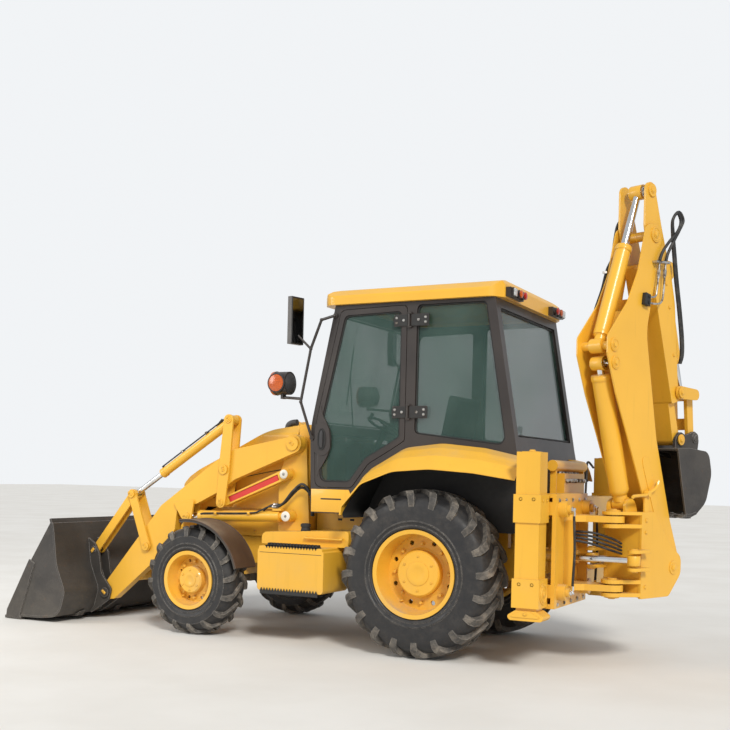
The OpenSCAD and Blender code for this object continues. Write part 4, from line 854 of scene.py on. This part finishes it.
for side, word in SIDES:
    for spot, y, r, body in ((LINK_PIVOT, 657, 40, "machine"), (LIFT_BASE, 660, 44, "machine")):
        shape = bmesh.new()
        ring(shape, (spot[0], 0, spot[1]), [(0, y - 3), (r, y - 3), (r, y + 3), (r - 4, y + 6), (14, y + 6),
                                            (12, y + 3), (0, y + 3)], 32, side=side)
        place(shape, "cap_%s_%d" % (word, y), white_cap, body)
        shape = bmesh.new()
        nut(shape, (spot[0], side * (y + 3), spot[1]), 9, side * 7)
        place(shape, "cap_bolt_%s_%d" % (word, y), pin_steel, body)
    for name, spot, y, lean, body in (("arm_pivot", ARM_PIVOT, 662, 40, "machine"),
                                      ("lever_pivot", LEVER_PIVOT, 685, 80, "loader_arms"),
                                      ("lift_eye", LIFT_EYE, 673, 10, "loader_arms"),
                                      ("lever_head", LEVER_HEAD, 679, 75, "tilt_levers"),
                                      ("lever_foot", LEVER_FOOT, 679, 85, "tilt_levers"),
                                      ("front_pivot", FRONT_PIVOT, 684, 60, "lever_pins"),
                                      ("front_head", FRONT_HEAD, 687, 20, "link_pins"),
                                      ("bucket_top", BUCKET_TOP, 684, -50, "loader_bucket"),
                                      ("bucket_pivot", BUCKET_PIVOT, 696, 35, "bucket_pins")):
        keeper = bmesh.new()
        slab(keeper, [(-16, -13), (30, -13), (36, -6), (36, 6), (30, 13), (-16, 13)], -1, 5)
        eased(keeper, 1.5, 1)
        nut(keeper, (20, 5, 0), 7, 7)
        ring(keeper, (0, 0, 0), [(0, 9), (5, 9), (6, 5)], 10)
        if side < 0:
            keeper.transform(Matrix.Scale(-1, 4, (0, 1, 0)))
        place(keeper, "keeper_%s_%s" % (name, word), yellow, body,
              at=turned(machine, (spot[0], side * y, spot[1]), -lean))
    d = (Vector(LEVER_FOOT) - Vector(LINK_PIVOT)).normalized()
    n = Vector((-d[1], d[0])) * 26
    a, b = Vector(LINK_PIVOT) + 84 * d, Vector(LEVER_FOOT) - 79 * d
    shape = bmesh.new()
    slab(shape, [tuple(p) for p in (a + n, b + n, b - n, a - n)], *span(side * 604, 24))
    eased(shape, 1.5, 1)
    place(shape, "link_strip_" + word, red_strip, "levelling_links")

    # Pipes on the lift and tilt rams
    shape = bmesh.new()
    tube(shape, curve_through([(1545, side * 642, 1150), (1600, side * 650, 1146), (1680, side * 656, 1110),
                               (1780, side * 656, 1086), (2190, side * 656, 1070), (2300, side * 654, 1064),
                               (2345, side * 640, 1052)]), 8, 10)
    tube(shape, curve_through([(1545, side * 622, 1168), (1590, side * 622, 1160), (1640, side * 626, 1128),
                               (1665, side * 618, 1108)]), 8, 10)
    place(shape, "lift_pipe_" + word, hose_rubber, "lift_barrels")
    shape = bmesh.new()
    for x, z in ((1800, 1082), (2160, 1070)):
        brick(shape, *span(x, 14), *span(side * 648, 18), z - 14, z + 12)
        eased(shape, 3, 1)
        nut(shape, (x, side * 666, z), 6, side * 6)
    slab(shape, [(1470, 1116), (1560, 1113), (1560, 1132), (1470, 1135)], *span(side * 620, 22))
    place(shape, "lift_pipe_clamps_" + word, yellow, "lift_barrels")
    shape = bmesh.new()
    for y, z in ((642, 1150), (622, 1168)):
        collar(shape, (1535, side * y, z), (1, 0, 0), 15, 44)
    place(shape, "lift_fittings_" + word, pin_steel, "lift_barrels")
    u, up = Vector((0.8415, -0.5404)), Vector((0.5404, 0.8415))
    shape = bmesh.new()
    for off, reach in ((14, 890), (-14, 200)):
        steps = ((86, 66), (130, 56), (170, 53), (reach - 60, 53), (reach - 20, 50), (reach, 40))
        run = [Vector(LEVER_HEAD) + u * s + up * h for s, h in steps]
        tube(shape, curve_through([(p[0], side * (600 + off), p[1]) for p in run]), 7, 8)
    place(shape, "tilt_pipes_" + word, hose_rubber, "tilt_barrels")
    shape = bmesh.new()
    for s in (300, 620):
        p = Vector(LEVER_HEAD) + u * s + up * 50
        slab(shape, [tuple(p + u * a + up * b) for a, b in ((-12, -12), (12, -12), (12, 14), (-12, 14))],
             *span(side * 600, 26))
    eased(shape, 3, 1)
    place(shape, "tilt_pipe_clamps_" + word, pin_steel, "tilt_barrels")
    for i, drop in enumerate((0, 14)):
        hose("lift_hose_%s_%d" % (word, i), [(1180, side * (592 - 26 * i), 1080),
                                             (1178 + drop, side * (606 - 26 * i), 1200),
                                             (1196 + drop, side * (622 - 20 * i), 1300 - drop),
                                             (1262 + drop, side * (640 - 20 * i), 1356 - 2 * drop),
                                             (1350, side * (648 - 20 * i), 1290 - drop),
                                             (1430, side * (646 - 20 * i), 1198),
                                             (1480, side * (644 - 20 * i), 1160 + 10 * i),
                                             (1522, side * (642 - 20 * i), 1150 + 18 * i)], 12, "machine",
             towards="lift_barrels", start=(1200, side * 600, 1300), end=(1520, side * 640, 1150))

# Bucket: bolts along the cutting edge and the side cutters, and wear strips under the floor
shape = bmesh.new()
nut(shape, (4130, -1060, 32), 14, 9, "Z")
copies_of(shape, "edge_bolts", pin_steel, "loader_bucket", 11, (4130, -1060, 0), row=(0, 212, 0))
for side in (1, -1):
    shape = bmesh.new()
    for x, z in ((3955, 470), (4040, 320), (4115, 180)):
        nut(shape, (x, side * 1115, z), 12, side * -9)
    place(shape, "cutter_bolts_%d" % side, pin_steel, "loader_bucket")
shape = bmesh.new()
for y in (-820, -300, 300, 820):
    slab(shape, [(3560, 92), (3588, 44), (3798, 18), (4030, 8), (4030, 16), (3798, 32), (3600, 66)],
         *span(y, 40))
eased(shape, 2, 1)
place(shape, "wear_strips", bucket_steel, "loader_bucket")


# Bonnet, boxes and body
# Slats behind the bonnet's slots on black backing plates of painted shade, the exhaust's outlet, serrated
# black grips on the side boxes with a painted shadow line under their lids' lips, a yellow sill under the
# door with a black patch of painted shade for its slot, the filler cap and a rail on the boxes' face.
dress(yellow, "chassis bonnet cab_roof fenders side_boxes")

engine_paint = Finish("engine_paint", slot="engine_paint")
oily = engine_paint.noise(6, 6).between(0.4, 0.7)
engine_paint.put(Base_Color=engine_paint.mix(oily, (0.075, 0.075, 0.078), (0.025, 0.022, 0.02)),
                 Roughness=0.62 - 0.25 * oily)
engine_paint.bump(engine_paint.noise(60, 5), 0.002, 0.5, soften=0.006)
dress(engine_paint, "engine")

guard = Finish("mudguard_plastic", slot="dark_paint")
tint = guard.mix(guard.noise(4, 5).between(0.3, 0.7), (0.06, 0.035, 0.022), (0.09, 0.052, 0.032))
dusted(guard, tint, 0.5 + 0.15 * guard.noise(14, 4), 0.45, 0.2)
guard.bump(guard.noise(260, 2), 0.0004, 0.4, soften=0.002)

shape = bmesh.new()
# Painted shade: black backing plates behind the side slots and the front grille, with the grille's slats on
# them
for side in (1, -1):
    brick(shape, 2066, 2426, *span(side * 428, 3), 1176, 1410)
    for i in range(9):
        brick(shape, 2070, 2420, *span(side * 434, 5), 1190 + 24 * i, 1196 + 24 * i)
brick(shape, 2716, 2722, -270, 270, 930, 1290)
for i in range(22):
    brick(shape, 2722, 2730, *span(25 * i - 262, 3), 936, 1284)
place(shape, "bonnet_slats_and_shade", seal, "bonnet")
shape = bmesh.new()
tube(shape, [(1700, 180, 1690), (1700, 180, 1836)], 34, 24)
tube(shape, curve_through([(1700, 180, 1836), (1700, 180, 1868), (1688, 180, 1896), (1656, 180, 1914),
                           (1600, 180, 1920)]), 30, 16)
place(shape, "exhaust", engine_paint)
shape = bmesh.new()
for side in (1, -1):
    tube(shape, curve_through([(1470, side * 451, 1500), (1700, side * 451.5, 1462),
                               (1900, side * 451.5, 1424), (2040, side * 451, 1396)], 3), 4, 6)
    for x, z in ((2480, 1180), (1520, 1240)):
        ring(shape, (x, 0, z), [(0, 452), (22, 452), (22, 449)], 20, side=side)
place(shape, "bonnet_seams", seal, "bonnet")

for side, word in SIDES:
    shape = bmesh.new()
    brick(shape, 850, 1354, *span(side * 1029, 35), 834, 843)
    # Painted shadow: a thin black line along the box's face under its lid's lip
    brick(shape, 810, 1410, *span(side * 1060, 0.8), 780, 784)
    place(shape, "grip_base_" + word, seal)
    shape = bmesh.new()
    slab(shape, [(854, 842), (876, 842), (872, 862), (860, 862)], *span(side * 1024, 28))
    copies_of(shape, "grip_teeth_" + word, seal, "machine", 16, (854, side * 1024, 842), row=(31, 0, 0))
    shape = bmesh.new()
    slab(shape, [(852, 843), (864, 818), (876, 843)], *span(side * 1062, 2))
    copies_of(shape, "grip_edge_" + word, seal, "machine", 18, (852, side * 1062, 843), row=(28, 0, 0))
    shape = bmesh.new()
    brick(shape, 836, 1396, *span(side * 1020, 46), 444, 450)
    brick(shape, 836, 1396, *span(side * 1064, 3), 434, 463)
    brick(shape, 836, 1396, *span(side * 976, 3), 434, 458)
    for x in (880, 1340):
        brick(shape, *span(x, 20), *span(side * 1000, 8), 434, 470)
    place(shape, "step_" + word, seal)
    shape = bmesh.new()
    slab(shape, [(840, 462), (864, 462), (852, 486)], *span(side * 1064, 3))
    copies_of(shape, "step_teeth_" + word, seal, "machine", 20, (840, side * 1064, 462), row=(28, 0, 0))
    # Slotted plate between the cab's floor and the boxes; its slots are black patches of painted shade
    shape = bmesh.new()
    brick(shape, 640, 1236, *span(side * 406, 3), 945, 1118)
    eased(shape, 2, 1)
    place(shape, "floor_plate_" + word, yellow)
    shape = bmesh.new()
    for x in (760, 880, 1000):
        brick(shape, *span(x, 20), *span(side * 410, 1.5), 1044, 1062)
    place(shape, "floor_slots_" + word, seal)
    # Sill panel under the door; its slot is a black patch of painted shade
    shape = bmesh.new()
    slab(shape, [(668, 1128), (1080, 1128), (1082, 1322), (720, 1322), (672, 1230)][::-1],
         *span(side * 783, 4))
    eased(shape, 3)
    place(shape, "sill_" + word, yellow)
    shape = bmesh.new()
    brick(shape, 788, 986, *span(side * 787.5, 1.5), 1234, 1246)
    eased(shape, 2, 1)
    place(shape, "sill_slot_" + word, seal)
    shape = bmesh.new()
    ring(shape, (1154, side * 740, 0), [(0, 950), (40, 950), (42, 962), (36, 990), (44, 994), (44, 1012),
                                        (34, 1022), (0, 1024)], 28, "Z")
    place(shape, "filler_" + word, seal)
    shape = bmesh.new()
    tube(shape, curve_through([(760, side * 801, 910), (760, side * 822, 905), (770, side * 826, 902),
                               (1090, side * 826, 902), (1100, side * 822, 905), (1100, side * 801, 910)],
                              4), 9, 8)
    place(shape, "tank_rail_" + word, yellow)

# Under the bonnet: valve cover, air cleaner, silencer, belt wheels, radiator fins and coolant pipe
shape = bmesh.new()
slab(shape, [(1560, 1418), (2120, 1418), (2110, 1486), (2080, 1500), (1590, 1500), (1566, 1480)], -98, 98)
eased(shape, 10)
for x in range(1610, 2110, 80):
    for y in (-76, 76):
        nut(shape, (x, y, 1500), 9, 10, "Z")
place(shape, "valve_cover", engine_paint)
shape = bmesh.new()
ring(shape, (0, -170, 1478), [(0, 1900), (62, 1900), (66, 1910), (66, 2120), (62, 2130), (0, 2130)], 28, "X")
for x in (1940, 2090):
    ring(shape, (0, -170, 1478), [(66, x), (69, x), (69, x + 16), (66, x + 16)], 28, "X", closed=True)
tube(shape, curve_through([(1902, -170, 1478), (1850, -170, 1482), (1810, -140, 1496),
                           (1790, -90, 1490)]), 34, 16)
ring(shape, (1700, 180, 0), [(0, 1418), (52, 1420), (70, 1440), (70, 1640), (40, 1676), (34, 1700)], 28, "Z")
place(shape, "air_cleaner_and_silencer", engine_paint)
shape = bmesh.new()
for y, z, r in ((0, 1000, 120), (-150, 1180, 62), (120, 1230, 74)):
    grooved = [(0, -30), (r, -30), (r, -20), (r - 12, -12), (r, -4), (r, 4), (0, 4)]
    ring(shape, (2452, y, z), grooved, 32, "X")
for side in (1, -1):
    for i in range(9):
        brick(shape, 1500, 2440, *span(side * 251, 6), 860 + 60 * i, 872 + 60 * i)
    for i in range(5):
        ring(shape, (1580 + 190 * i, 0, 1130), [(0, 250), (46, 250), (46, 276), (38, 282), (0, 282)], 22,
             side=side)
place(shape, "engine_fittings", engine_paint)
shape = bmesh.new()
brick(shape, 2541, 2543, -350, 350, 910, 1370)
for i in range(56):
    brick(shape, 2542, 2547, *span(12.5 * i - 346, 2), 914, 1366)
place(shape, "radiator_fins", seal)
shape = bmesh.new()
tube(shape, curve_through([(2200, 130, 1420), (2230, 130, 1462), (2320, 150, 1476), (2420, 180, 1452),
                           (2470, 190, 1408), (2490, 190, 1376)]), 24, 14)
for spot in ((2203, 130, 1428), (2487, 190, 1390)):
    collar(shape, spot, (0, 0, 1), 26, 22)
place(shape, "coolant_pipe", engine_paint)

# Yellow inner plates beside the engine, under the bonnet
for side, word in SIDES:
    shape = bmesh.new()
    slab(shape, [(1566, 870), (2440, 870), (2440, 1060), (2300, 1120), (1566, 1120)], *span(side * 425, 4))
    eased(shape, 3, 1)
    for x in (1640, 1880, 2120, 2360):
        nut(shape, (x, side * 429, 910), 10, side * 6)
    place(shape, "inner_plate_" + word, yellow)

# Black sheets of painted shade under the rear fenders and in the wheels' arches, and brown plastic skins on
# the front mudguards
FENDER = [(660, 1130), (655, 1226), (480, 1514), (200, 1672), (-130, 1716), (-500, 1680), (-840, 1609)]


def fender_drop(y):
    """How far the fender's top has come down at y, steeper towards its outer edge."""
    if y < 780:
        return 0
    if y < 870:
        return (y - 780) * 0.4
    return 36 + (y - 870) * 0.72 if y < 960 else 100 + (y - 960) * 1.15


for side, word in SIDES:
    # Painted shade: a black sheet along the arch's inner side and just under the fender's underside
    roof = [(p[0], p[1]) for p in curve_through([(x * 0.955 - 4, z - 34, 0) for x, z in FENDER], 6)]
    shape = bmesh.new()
    slab(shape, roof + [(-806, 1010), (630, 1010)], *span(side * 580, 2.5))
    rows = []
    for y in (582, 780, 830, 870, 915, 960, 1005, 1036):
        rows.append([shape.verts.new((x, side * y, z - fender_drop(y) * (z - 1100) / 618)) for x, z in roof])
    for a, b in zip(rows, rows[1:]):
        for k in range(len(roof) - 1):
            shape.faces.new((a[k], a[k + 1], b[k + 1], b[k]))
    place(shape, "arch_liner_" + word, seal)
    arc = [math.radians(80.5 + 85 * i / 20) for i in range(21)]
    shape = bmesh.new()
    x, z, _ = FRONT_AXLE
    band = [(x + r * math.cos(a), z + r * math.sin(a))
            for r, angles in ((540, arc), (534, arc[::-1])) for a in angles]
    slab(shape, band[::-1], *span(side * 864, 155))
    for edge in (710, 1018):
        tube(shape, [(x + 537 * math.cos(a), side * edge, z + 537 * math.sin(a)) for a in arc], 6, 8)
    place(shape, "mudguard_skin_" + word, guard, "knuckle_" + word)


# Stabilisers
# Bolts on the collars, a boss with its ring low on each leg's housing, a cap on its top, ribs with a bolt on
# the feet, and a hose from each leg's top down behind it.
dress(yellow, "rear_frame stabiliser_left stabiliser_right")
LEG_X, LEG_Y = -970, 1045
for side, word in SIDES:
    y = LEG_Y * side
    shape = bmesh.new()
    for z in (1230, 600):
        for s in (-1, 1):
            for dy in (-45, 45):
                nut(shape, (LEG_X + s * 107, y + dy, z + 60), 10, s * 7, "X")
        for dx in (-50, 50):
            nut(shape, (LEG_X + dx, y + side * 95, z + 70), 10, side * 5)
    place(shape, "collar_bolts_" + word, yellow)
    shape = bmesh.new()
    for s in (-1, 1):
        tube(shape, [(LEG_X + s * 113, y + 60 * b, 600 + 60 * a) for a, b in circle(32)], 6, 8, closed=True)
        nut(shape, (LEG_X + s * 112, y, 600), 24, s * 9, "X")
    place(shape, "leg_boss_" + word, yellow)
    shape = bmesh.new()
    brick(shape, *span(LEG_X, 60), *span(y, 60), 1649, 1654)
    eased(shape, 2, 1)
    ring(shape, (LEG_X, y, 0), [(0, 1654), (26, 1654), (26, 1660), (18, 1668), (0, 1668)], 18, "Z")
    place(shape, "leg_cap_" + word, yellow)
    shape = bmesh.new()
    for dy in (-88, 88):
        slab(shape, [(LEG_X - 110, 432), (LEG_X - 40, 470), (LEG_X + 40, 470), (LEG_X + 110, 432),
                     (LEG_X + 96, 424), (LEG_X - 96, 424)], *span(y + dy, 3))
    nut(shape, (LEG_X, y + side * 91, 452), 12, side * 8)
    place(shape, "foot_ribs_" + word, yellow, "stabiliser_" + word)
    hose("leg_hose_" + word, [(LEG_X + 92, y * 0.9, 1560), (LEG_X + 124, y * 0.86, 1610),
                              (LEG_X + 118, y * 0.78, 1590), (LEG_X + 96, y * 0.7, 1480),
                              (LEG_X + 90, y * 0.66, 1300)], 10)

# Valve chest: spool caps, fittings and hoses on its face
shape = bmesh.new()
for i in range(7):
    ring(shape, (-986, -240 + 80 * i, 1440), [(0, 2), (18, 2), (18, -14), (12, -22), (0, -22)], 14, "X")
    nut(shape, (-930, -240 + 80 * i, 1500), 15, 16, "Z")
place(shape, "valve_fittings", pin_steel)
for i in range(6):
    y = -240 + 80 * i
    hose("valve_hose_%d" % i,
         [(-930, y, 1514), (-932, y + 4, 1548), (-884, y + 10, 1580), (-846, y + 16, 1510 - 8 * i),
          (-858, y + 18, 1400), (-868, y + 18, 1270)], 9)


# Carriage and kingpost
# Clamp pins with chrome elbows and the hose between them, four hoses fanned out to the kingpost, bolts on the
# lugs, the boom's lock lever, and yellow eyes on the slew rams' rods.
SLEW_PIN = (-1450, 520)   # x and y of the upright line that the backhoe turns about
SLEW_REST = 70            # degrees that it is folded to the side at rest
backhoe = turned(machine, (*SLEW_PIN, 0), 180 + SLEW_REST, "Z")
dress(yellow, "carriage kingpost")
dress(chrome, "slew_rod_left slew_rod_right")
for s in (-1, 1):
    y = SLEW_PIN[1] + 310 * s
    shape = bmesh.new()
    for z, lean in ((1228, -1), (600, 1)):
        ring(shape, (-1214, y, z), [(0, 2), (20, 2), (20, -12), (14, -16), (0, -16)], 6, "X")
        collar(shape, (-1234, y, z + lean * 34), (0, 0, lean), 13, 34)
        ring(shape, (-1234, y, z), [(0, -12), (14, -8), (16, 0), (14, 8), (0, 12)], 12, "Z")
    place(shape, "clamp_elbows_%d" % s, chrome, "carriage")
    hose("clamp_hose_%d" % s, [(-1234, y, 1176), (-1238, y + 3, 1100), (-1246, y + 6, 914),
                               (-1238, y + 3, 730), (-1234, y, 652)], 10, "carriage")
shape = bmesh.new()
for z in (1312, 530):
    for y in (-340, -170, 0, 170, 340):
        nut(shape, (-1128, SLEW_PIN[1] + y, z - 20), 13, -10, "X")
place(shape, "carriage_bolts", pin_steel, "carriage")
for i in range(4):
    hose("slew_hose_%d" % i,
         [(-1129, 560 + 40 * i, 1044 - 24 * i), (-1205, 580 + 32 * i, 1052 - 22 * i),
          (-1320, 566 + 18 * i, 1044 - 27 * i), (-1420, 515 + 11 * i, 1012 - 29 * i),
          (-1468, 462 + 6 * i, 986 - 28 * i), (-1490, 415 - 2 * i, 964 - 26 * i)],
         9.5, "carriage", towards="kingpost", start=(-1330, 570, 1000), end=(-1480, 430, 960))
for name, s in (("slew_rod_left", -1), ("slew_rod_right", 1)):
    shape = bmesh.new()
    x, y = SLEW_PIN[0] + s * 190 * math.sin(math.radians(SLEW_REST)), SLEW_PIN[1] - s * 65
    ring(shape, (x, y, 0), [(24, 813), (47, 813), (50, 817), (50, 883), (47, 887), (24, 887)], 28, "Z",
         closed=True)
    place(shape, name + "_eye", yellow, name)
shape = bmesh.new()
tube(shape, curve_through([(4, -166, 1322), (10, -174, 1336), (150, -175, 1345), (186, -175, 1352),
                           (300, -175, 1400), (339, -175, 1456)], 4), 13, 8)
tube(shape, [(200, -190, 1356), (200, -150, 1356)], 24, 14)
slab(shape, [(170, 1200), (230, 1200), (226, 1352), (214, 1372), (186, 1372), (174, 1352)], -164, -150)
place(shape, "lock_lever", yellow, "kingpost", at=backhoe)
shape = bmesh.new()
for s in (-1, 1):
    nut(shape, (578, s * 177, 775), 26, s * 9)
    for out, z in ((190, 1150), (190, 1060), (190, 640)):
        nut(shape, (out, s * 170, z), 13, s * 8)
for z, lift in ((1225, 10), (555, -10)):
    nut(shape, (0, 0, z), 30, lift, "Z")
place(shape, "kingpost_bolts", yellow, "kingpost", at=backhoe)


# Boom and dipper
# Yellow eyes over the rods' ends, gland nuts, steel pipes with their block and clamp on the boom's side,
# hoses that loop to the dipper, pin heads with bolts, and the backhoe bucket's bolts and side strips.
dress(yellow, "boom boom_barrel dipper dipper_barrel tipping_levers tipping_links bucket_barrel")
dress(chrome, "boom_rod dipper_rod bucket_rod")
dress(bucket_steel, "hoe_bucket")


def eye(name, spot, radius, width, body):
    """A round eye about a pin in the backhoe's plane."""
    shape = bmesh.new()
    h = width / 2
    sleeve = [(radius - 20, -h - 1), (radius, -h - 1), (radius + 2, -h + 4), (radius + 2, h - 4),
              (radius, h + 1), (radius - 20, h + 1)]
    ring(shape, (spot[0], 0, spot[1]), sleeve, 32, closed=True)
    place(shape, name, yellow, body, at=backhoe)


eye("boom_rod_eye", (-225, 2330), 52, 108, "boom_rod")
eye("dipper_rod_eye", (232, 3700), 56, 108, "dipper_rod")
eye("bucket_rod_eye", (905, 2162), 46, 58, "bucket_rod")
for name, foot, head, far, r, body in (("boom", (100, 1275), (-225, 2330), 1020, 75, "boom_barrel"),
                                       ("dipper", (-245, 2460), (232, 3700), 850, 60, "dipper_barrel"),
                                       ("bucket", (600, 3144), (905, 2162), 760, 45, "bucket_barrel")):
    u = (Vector(head) - Vector(foot)).normalized()
    at = turned(backhoe, (foot[0], 0, foot[1]), -math.degrees(math.atan2(u[1], u[0])))
    shape = bmesh.new()
    ring(shape, (0, 0, 0), [(r + 3, far - 44), (r + 6, far - 40), (r + 6, far - 16), (r + 3, far - 12)],
         36, "X")
    ring(shape, (0, 0, 0), [(r * 0.72, 74), (r * 0.86, 80), (r + 1, 108), (r + 1, 122)], 36, "X")
    place(shape, name + "_gland", yellow, body, at=at)

shape = bmesh.new()
slab(shape, [(96, 2800), (168, 2790), (176, 2880), (110, 2892)], -178, -142)
eased(shape, 5)
for z in (2816, 2862):
    ring(shape, (146, 0, z), [(0, -178), (12, -178), (12, -186), (0, -186)], 8)
place(shape, "pipe_block", seal, "boom", at=backhoe)
shape = bmesh.new()
for run in ([(150, 2862), (205, 2866), (250, 2880), (268, 2930), (297, 3152)],
            [(150, 2816), (270, 2822), (332, 2846), (358, 2920), (381, 3165)]):
    tube(shape, curve_through([(x, -166 if k else -164, z) for k, (x, z) in enumerate(run)], 5), 8, 10)
slab(shape, [(232, 3136), (420, 3150), (419, 3166), (231, 3152)], -184, -144)
for out, z in ((286, 3060), (370, 3075)):
    collar(shape, (out, -166, z), (0.12, 0, 1), 15, 50)
place(shape, "boom_pipes", pin_steel, "boom", at=backhoe)
for i in (0, 1):
    hose("boom_hose_%d" % i, [(300 + 82 * i, -166, 3162), (330 + 76 * i, -168, 3230),
                              (407 + 44 * i, -172 - 8 * i, 3316), (521 + 22 * i, -178, 3421 + 8 * i),
                              (565 + 34 * i, -178, 3507 + 14 * i), (520 + 20 * i, -174, 3566 + 12 * i),
                              (466 + 6 * i, -166, 3500 + 10 * i), (486 + 14 * i, -154, 3400),
                              (526 + 22 * i, -142, 3260), (570 + 26 * i, -138, 3053),
                              (628 + 26 * i, -136, 2822), (672 + 26 * i, -136, 2600),
                              (690 + 22 * i, -130, 2470), (700 + 10 * i, -112, 2400)], 12, "boom",
         at=backhoe, towards="dipper", start=(407, -172, 3316), end=(526, -142, 3260))
    hose("boom_far_hose_%d" % i, [(300 + 30 * i, 128, 3560), (262 + 26 * i, 150, 3546),
                                  (221 - 16 * i, 160, 3473), (180 - 14 * i, 160, 3348),
                                  (153 - 14 * i, 160, 3202), (87 - 18 * i, 160, 3090),
                                  (34 - 22 * i, 160, 2934), (-45 - 24 * i, 160, 2769),
                                  (-97 - 24 * i, 158, 2609), (-120 - 24 * i, 156, 2450),
                                  (-100 - 20 * i, 154, 2300), (-60 - 20 * i, 146, 2180)], 12, "dipper",
         at=backhoe, towards="boom", start=(221, 160, 3473), end=(153, 160, 3202))
shape = bmesh.new()
for out, z in ((96, 3076), (-100, 2600)):
    slab(shape, [(out - 52, z - 12), (out + 40, z - 4), (out + 38, z + 14), (out - 54, z + 6)], 141, 180)
place(shape, "far_clamps", pin_steel, "boom", at=backhoe)
shape = bmesh.new()
for s in (-1, 1):
    for out, z, r in ((267, 3360, 60), (-245, 2460, 50), (-225, 2330, 50)):
        nut(shape, (out, s * 151, z), r * 0.4, s * 9)
        tube(shape, [(out + r * 0.8 * a, s * 151, z + r * 0.8 * b) for a, b in circle(28)], 3, 6,
             closed=True)
place(shape, "boom_pin_bolts", yellow, "boom", at=backhoe)
shape = bmesh.new()
for s in (-1, 1):
    for out, z, y in ((675, 2166, 162), (721, 1790, 136), (232, 3700, 134)):
        nut(shape, (out, s * y, z), 20, s * 9)
    for out, z in ((470, 3010), (520, 2830), (600, 2460)):
        nut(shape, (out, s * 122, z), 12, s * 8)
place(shape, "dipper_pin_bolts", yellow, "dipper", at=backhoe)
# Cover plates welded along the boom's sides
cover = rounded([(520, 980, 60), (300, 1480, 200), (240, 1640, 30), (150, 1640, 30), (170, 1560, 200),
                 (420, 1000, 120), (500, 900, 30)], 4)
shape = bmesh.new()
for s in (-1, 1):
    slab(shape, [tuple(p) for p in cover], *span(s * 144, 2))
place(shape, "boom_cover", yellow, "boom", at=backhoe)
shape = bmesh.new()
for i in range(-2, 3):
    for out in (640, 664):
        nut(shape, (out, 103 * i, 1204), 6, 5, "Z")
place(shape, "tooth_bolts", pin_steel, "hoe_bucket", at=backhoe)
shape = bmesh.new()
for s in (-1, 1):
    slab(shape, [(636, 1176), (712, 1176), (790, 1196), (780, 1216), (706, 1200), (636, 1200)],
         *span(s * 240, 3))
    nut(shape, (940, s * 129, 1813), 20, s * 8)
place(shape, "bucket_side_strips", bucket_steel, "hoe_bucket", at=backhoe)


# Floor
# A plain pale concrete floor, wide enough to fill the view. It is a stage for the pictures and no part of
# the machine.
floor_finish = Finish("pale_floor", roughness=0.85)
stained = floor_finish.noise(0.8, 4).between(0.3, 0.7)
floor_finish.put(Base_Color=floor_finish.mix(stained, (0.72, 0.70, 0.66), (0.77, 0.755, 0.72)))
floor_mesh = bpy.data.meshes.new("floor")
floor_mesh.from_pydata([(-60, -60, 0), (60, -60, 0), (60, 60, 0), (-60, 60, 0)], [], [(0, 1, 2, 3)])
floor = bpy.data.objects.new("floor", floor_mesh)
floor_mesh.materials.append(floor_finish.material)
bpy.context.scene.collection.objects.link(floor)
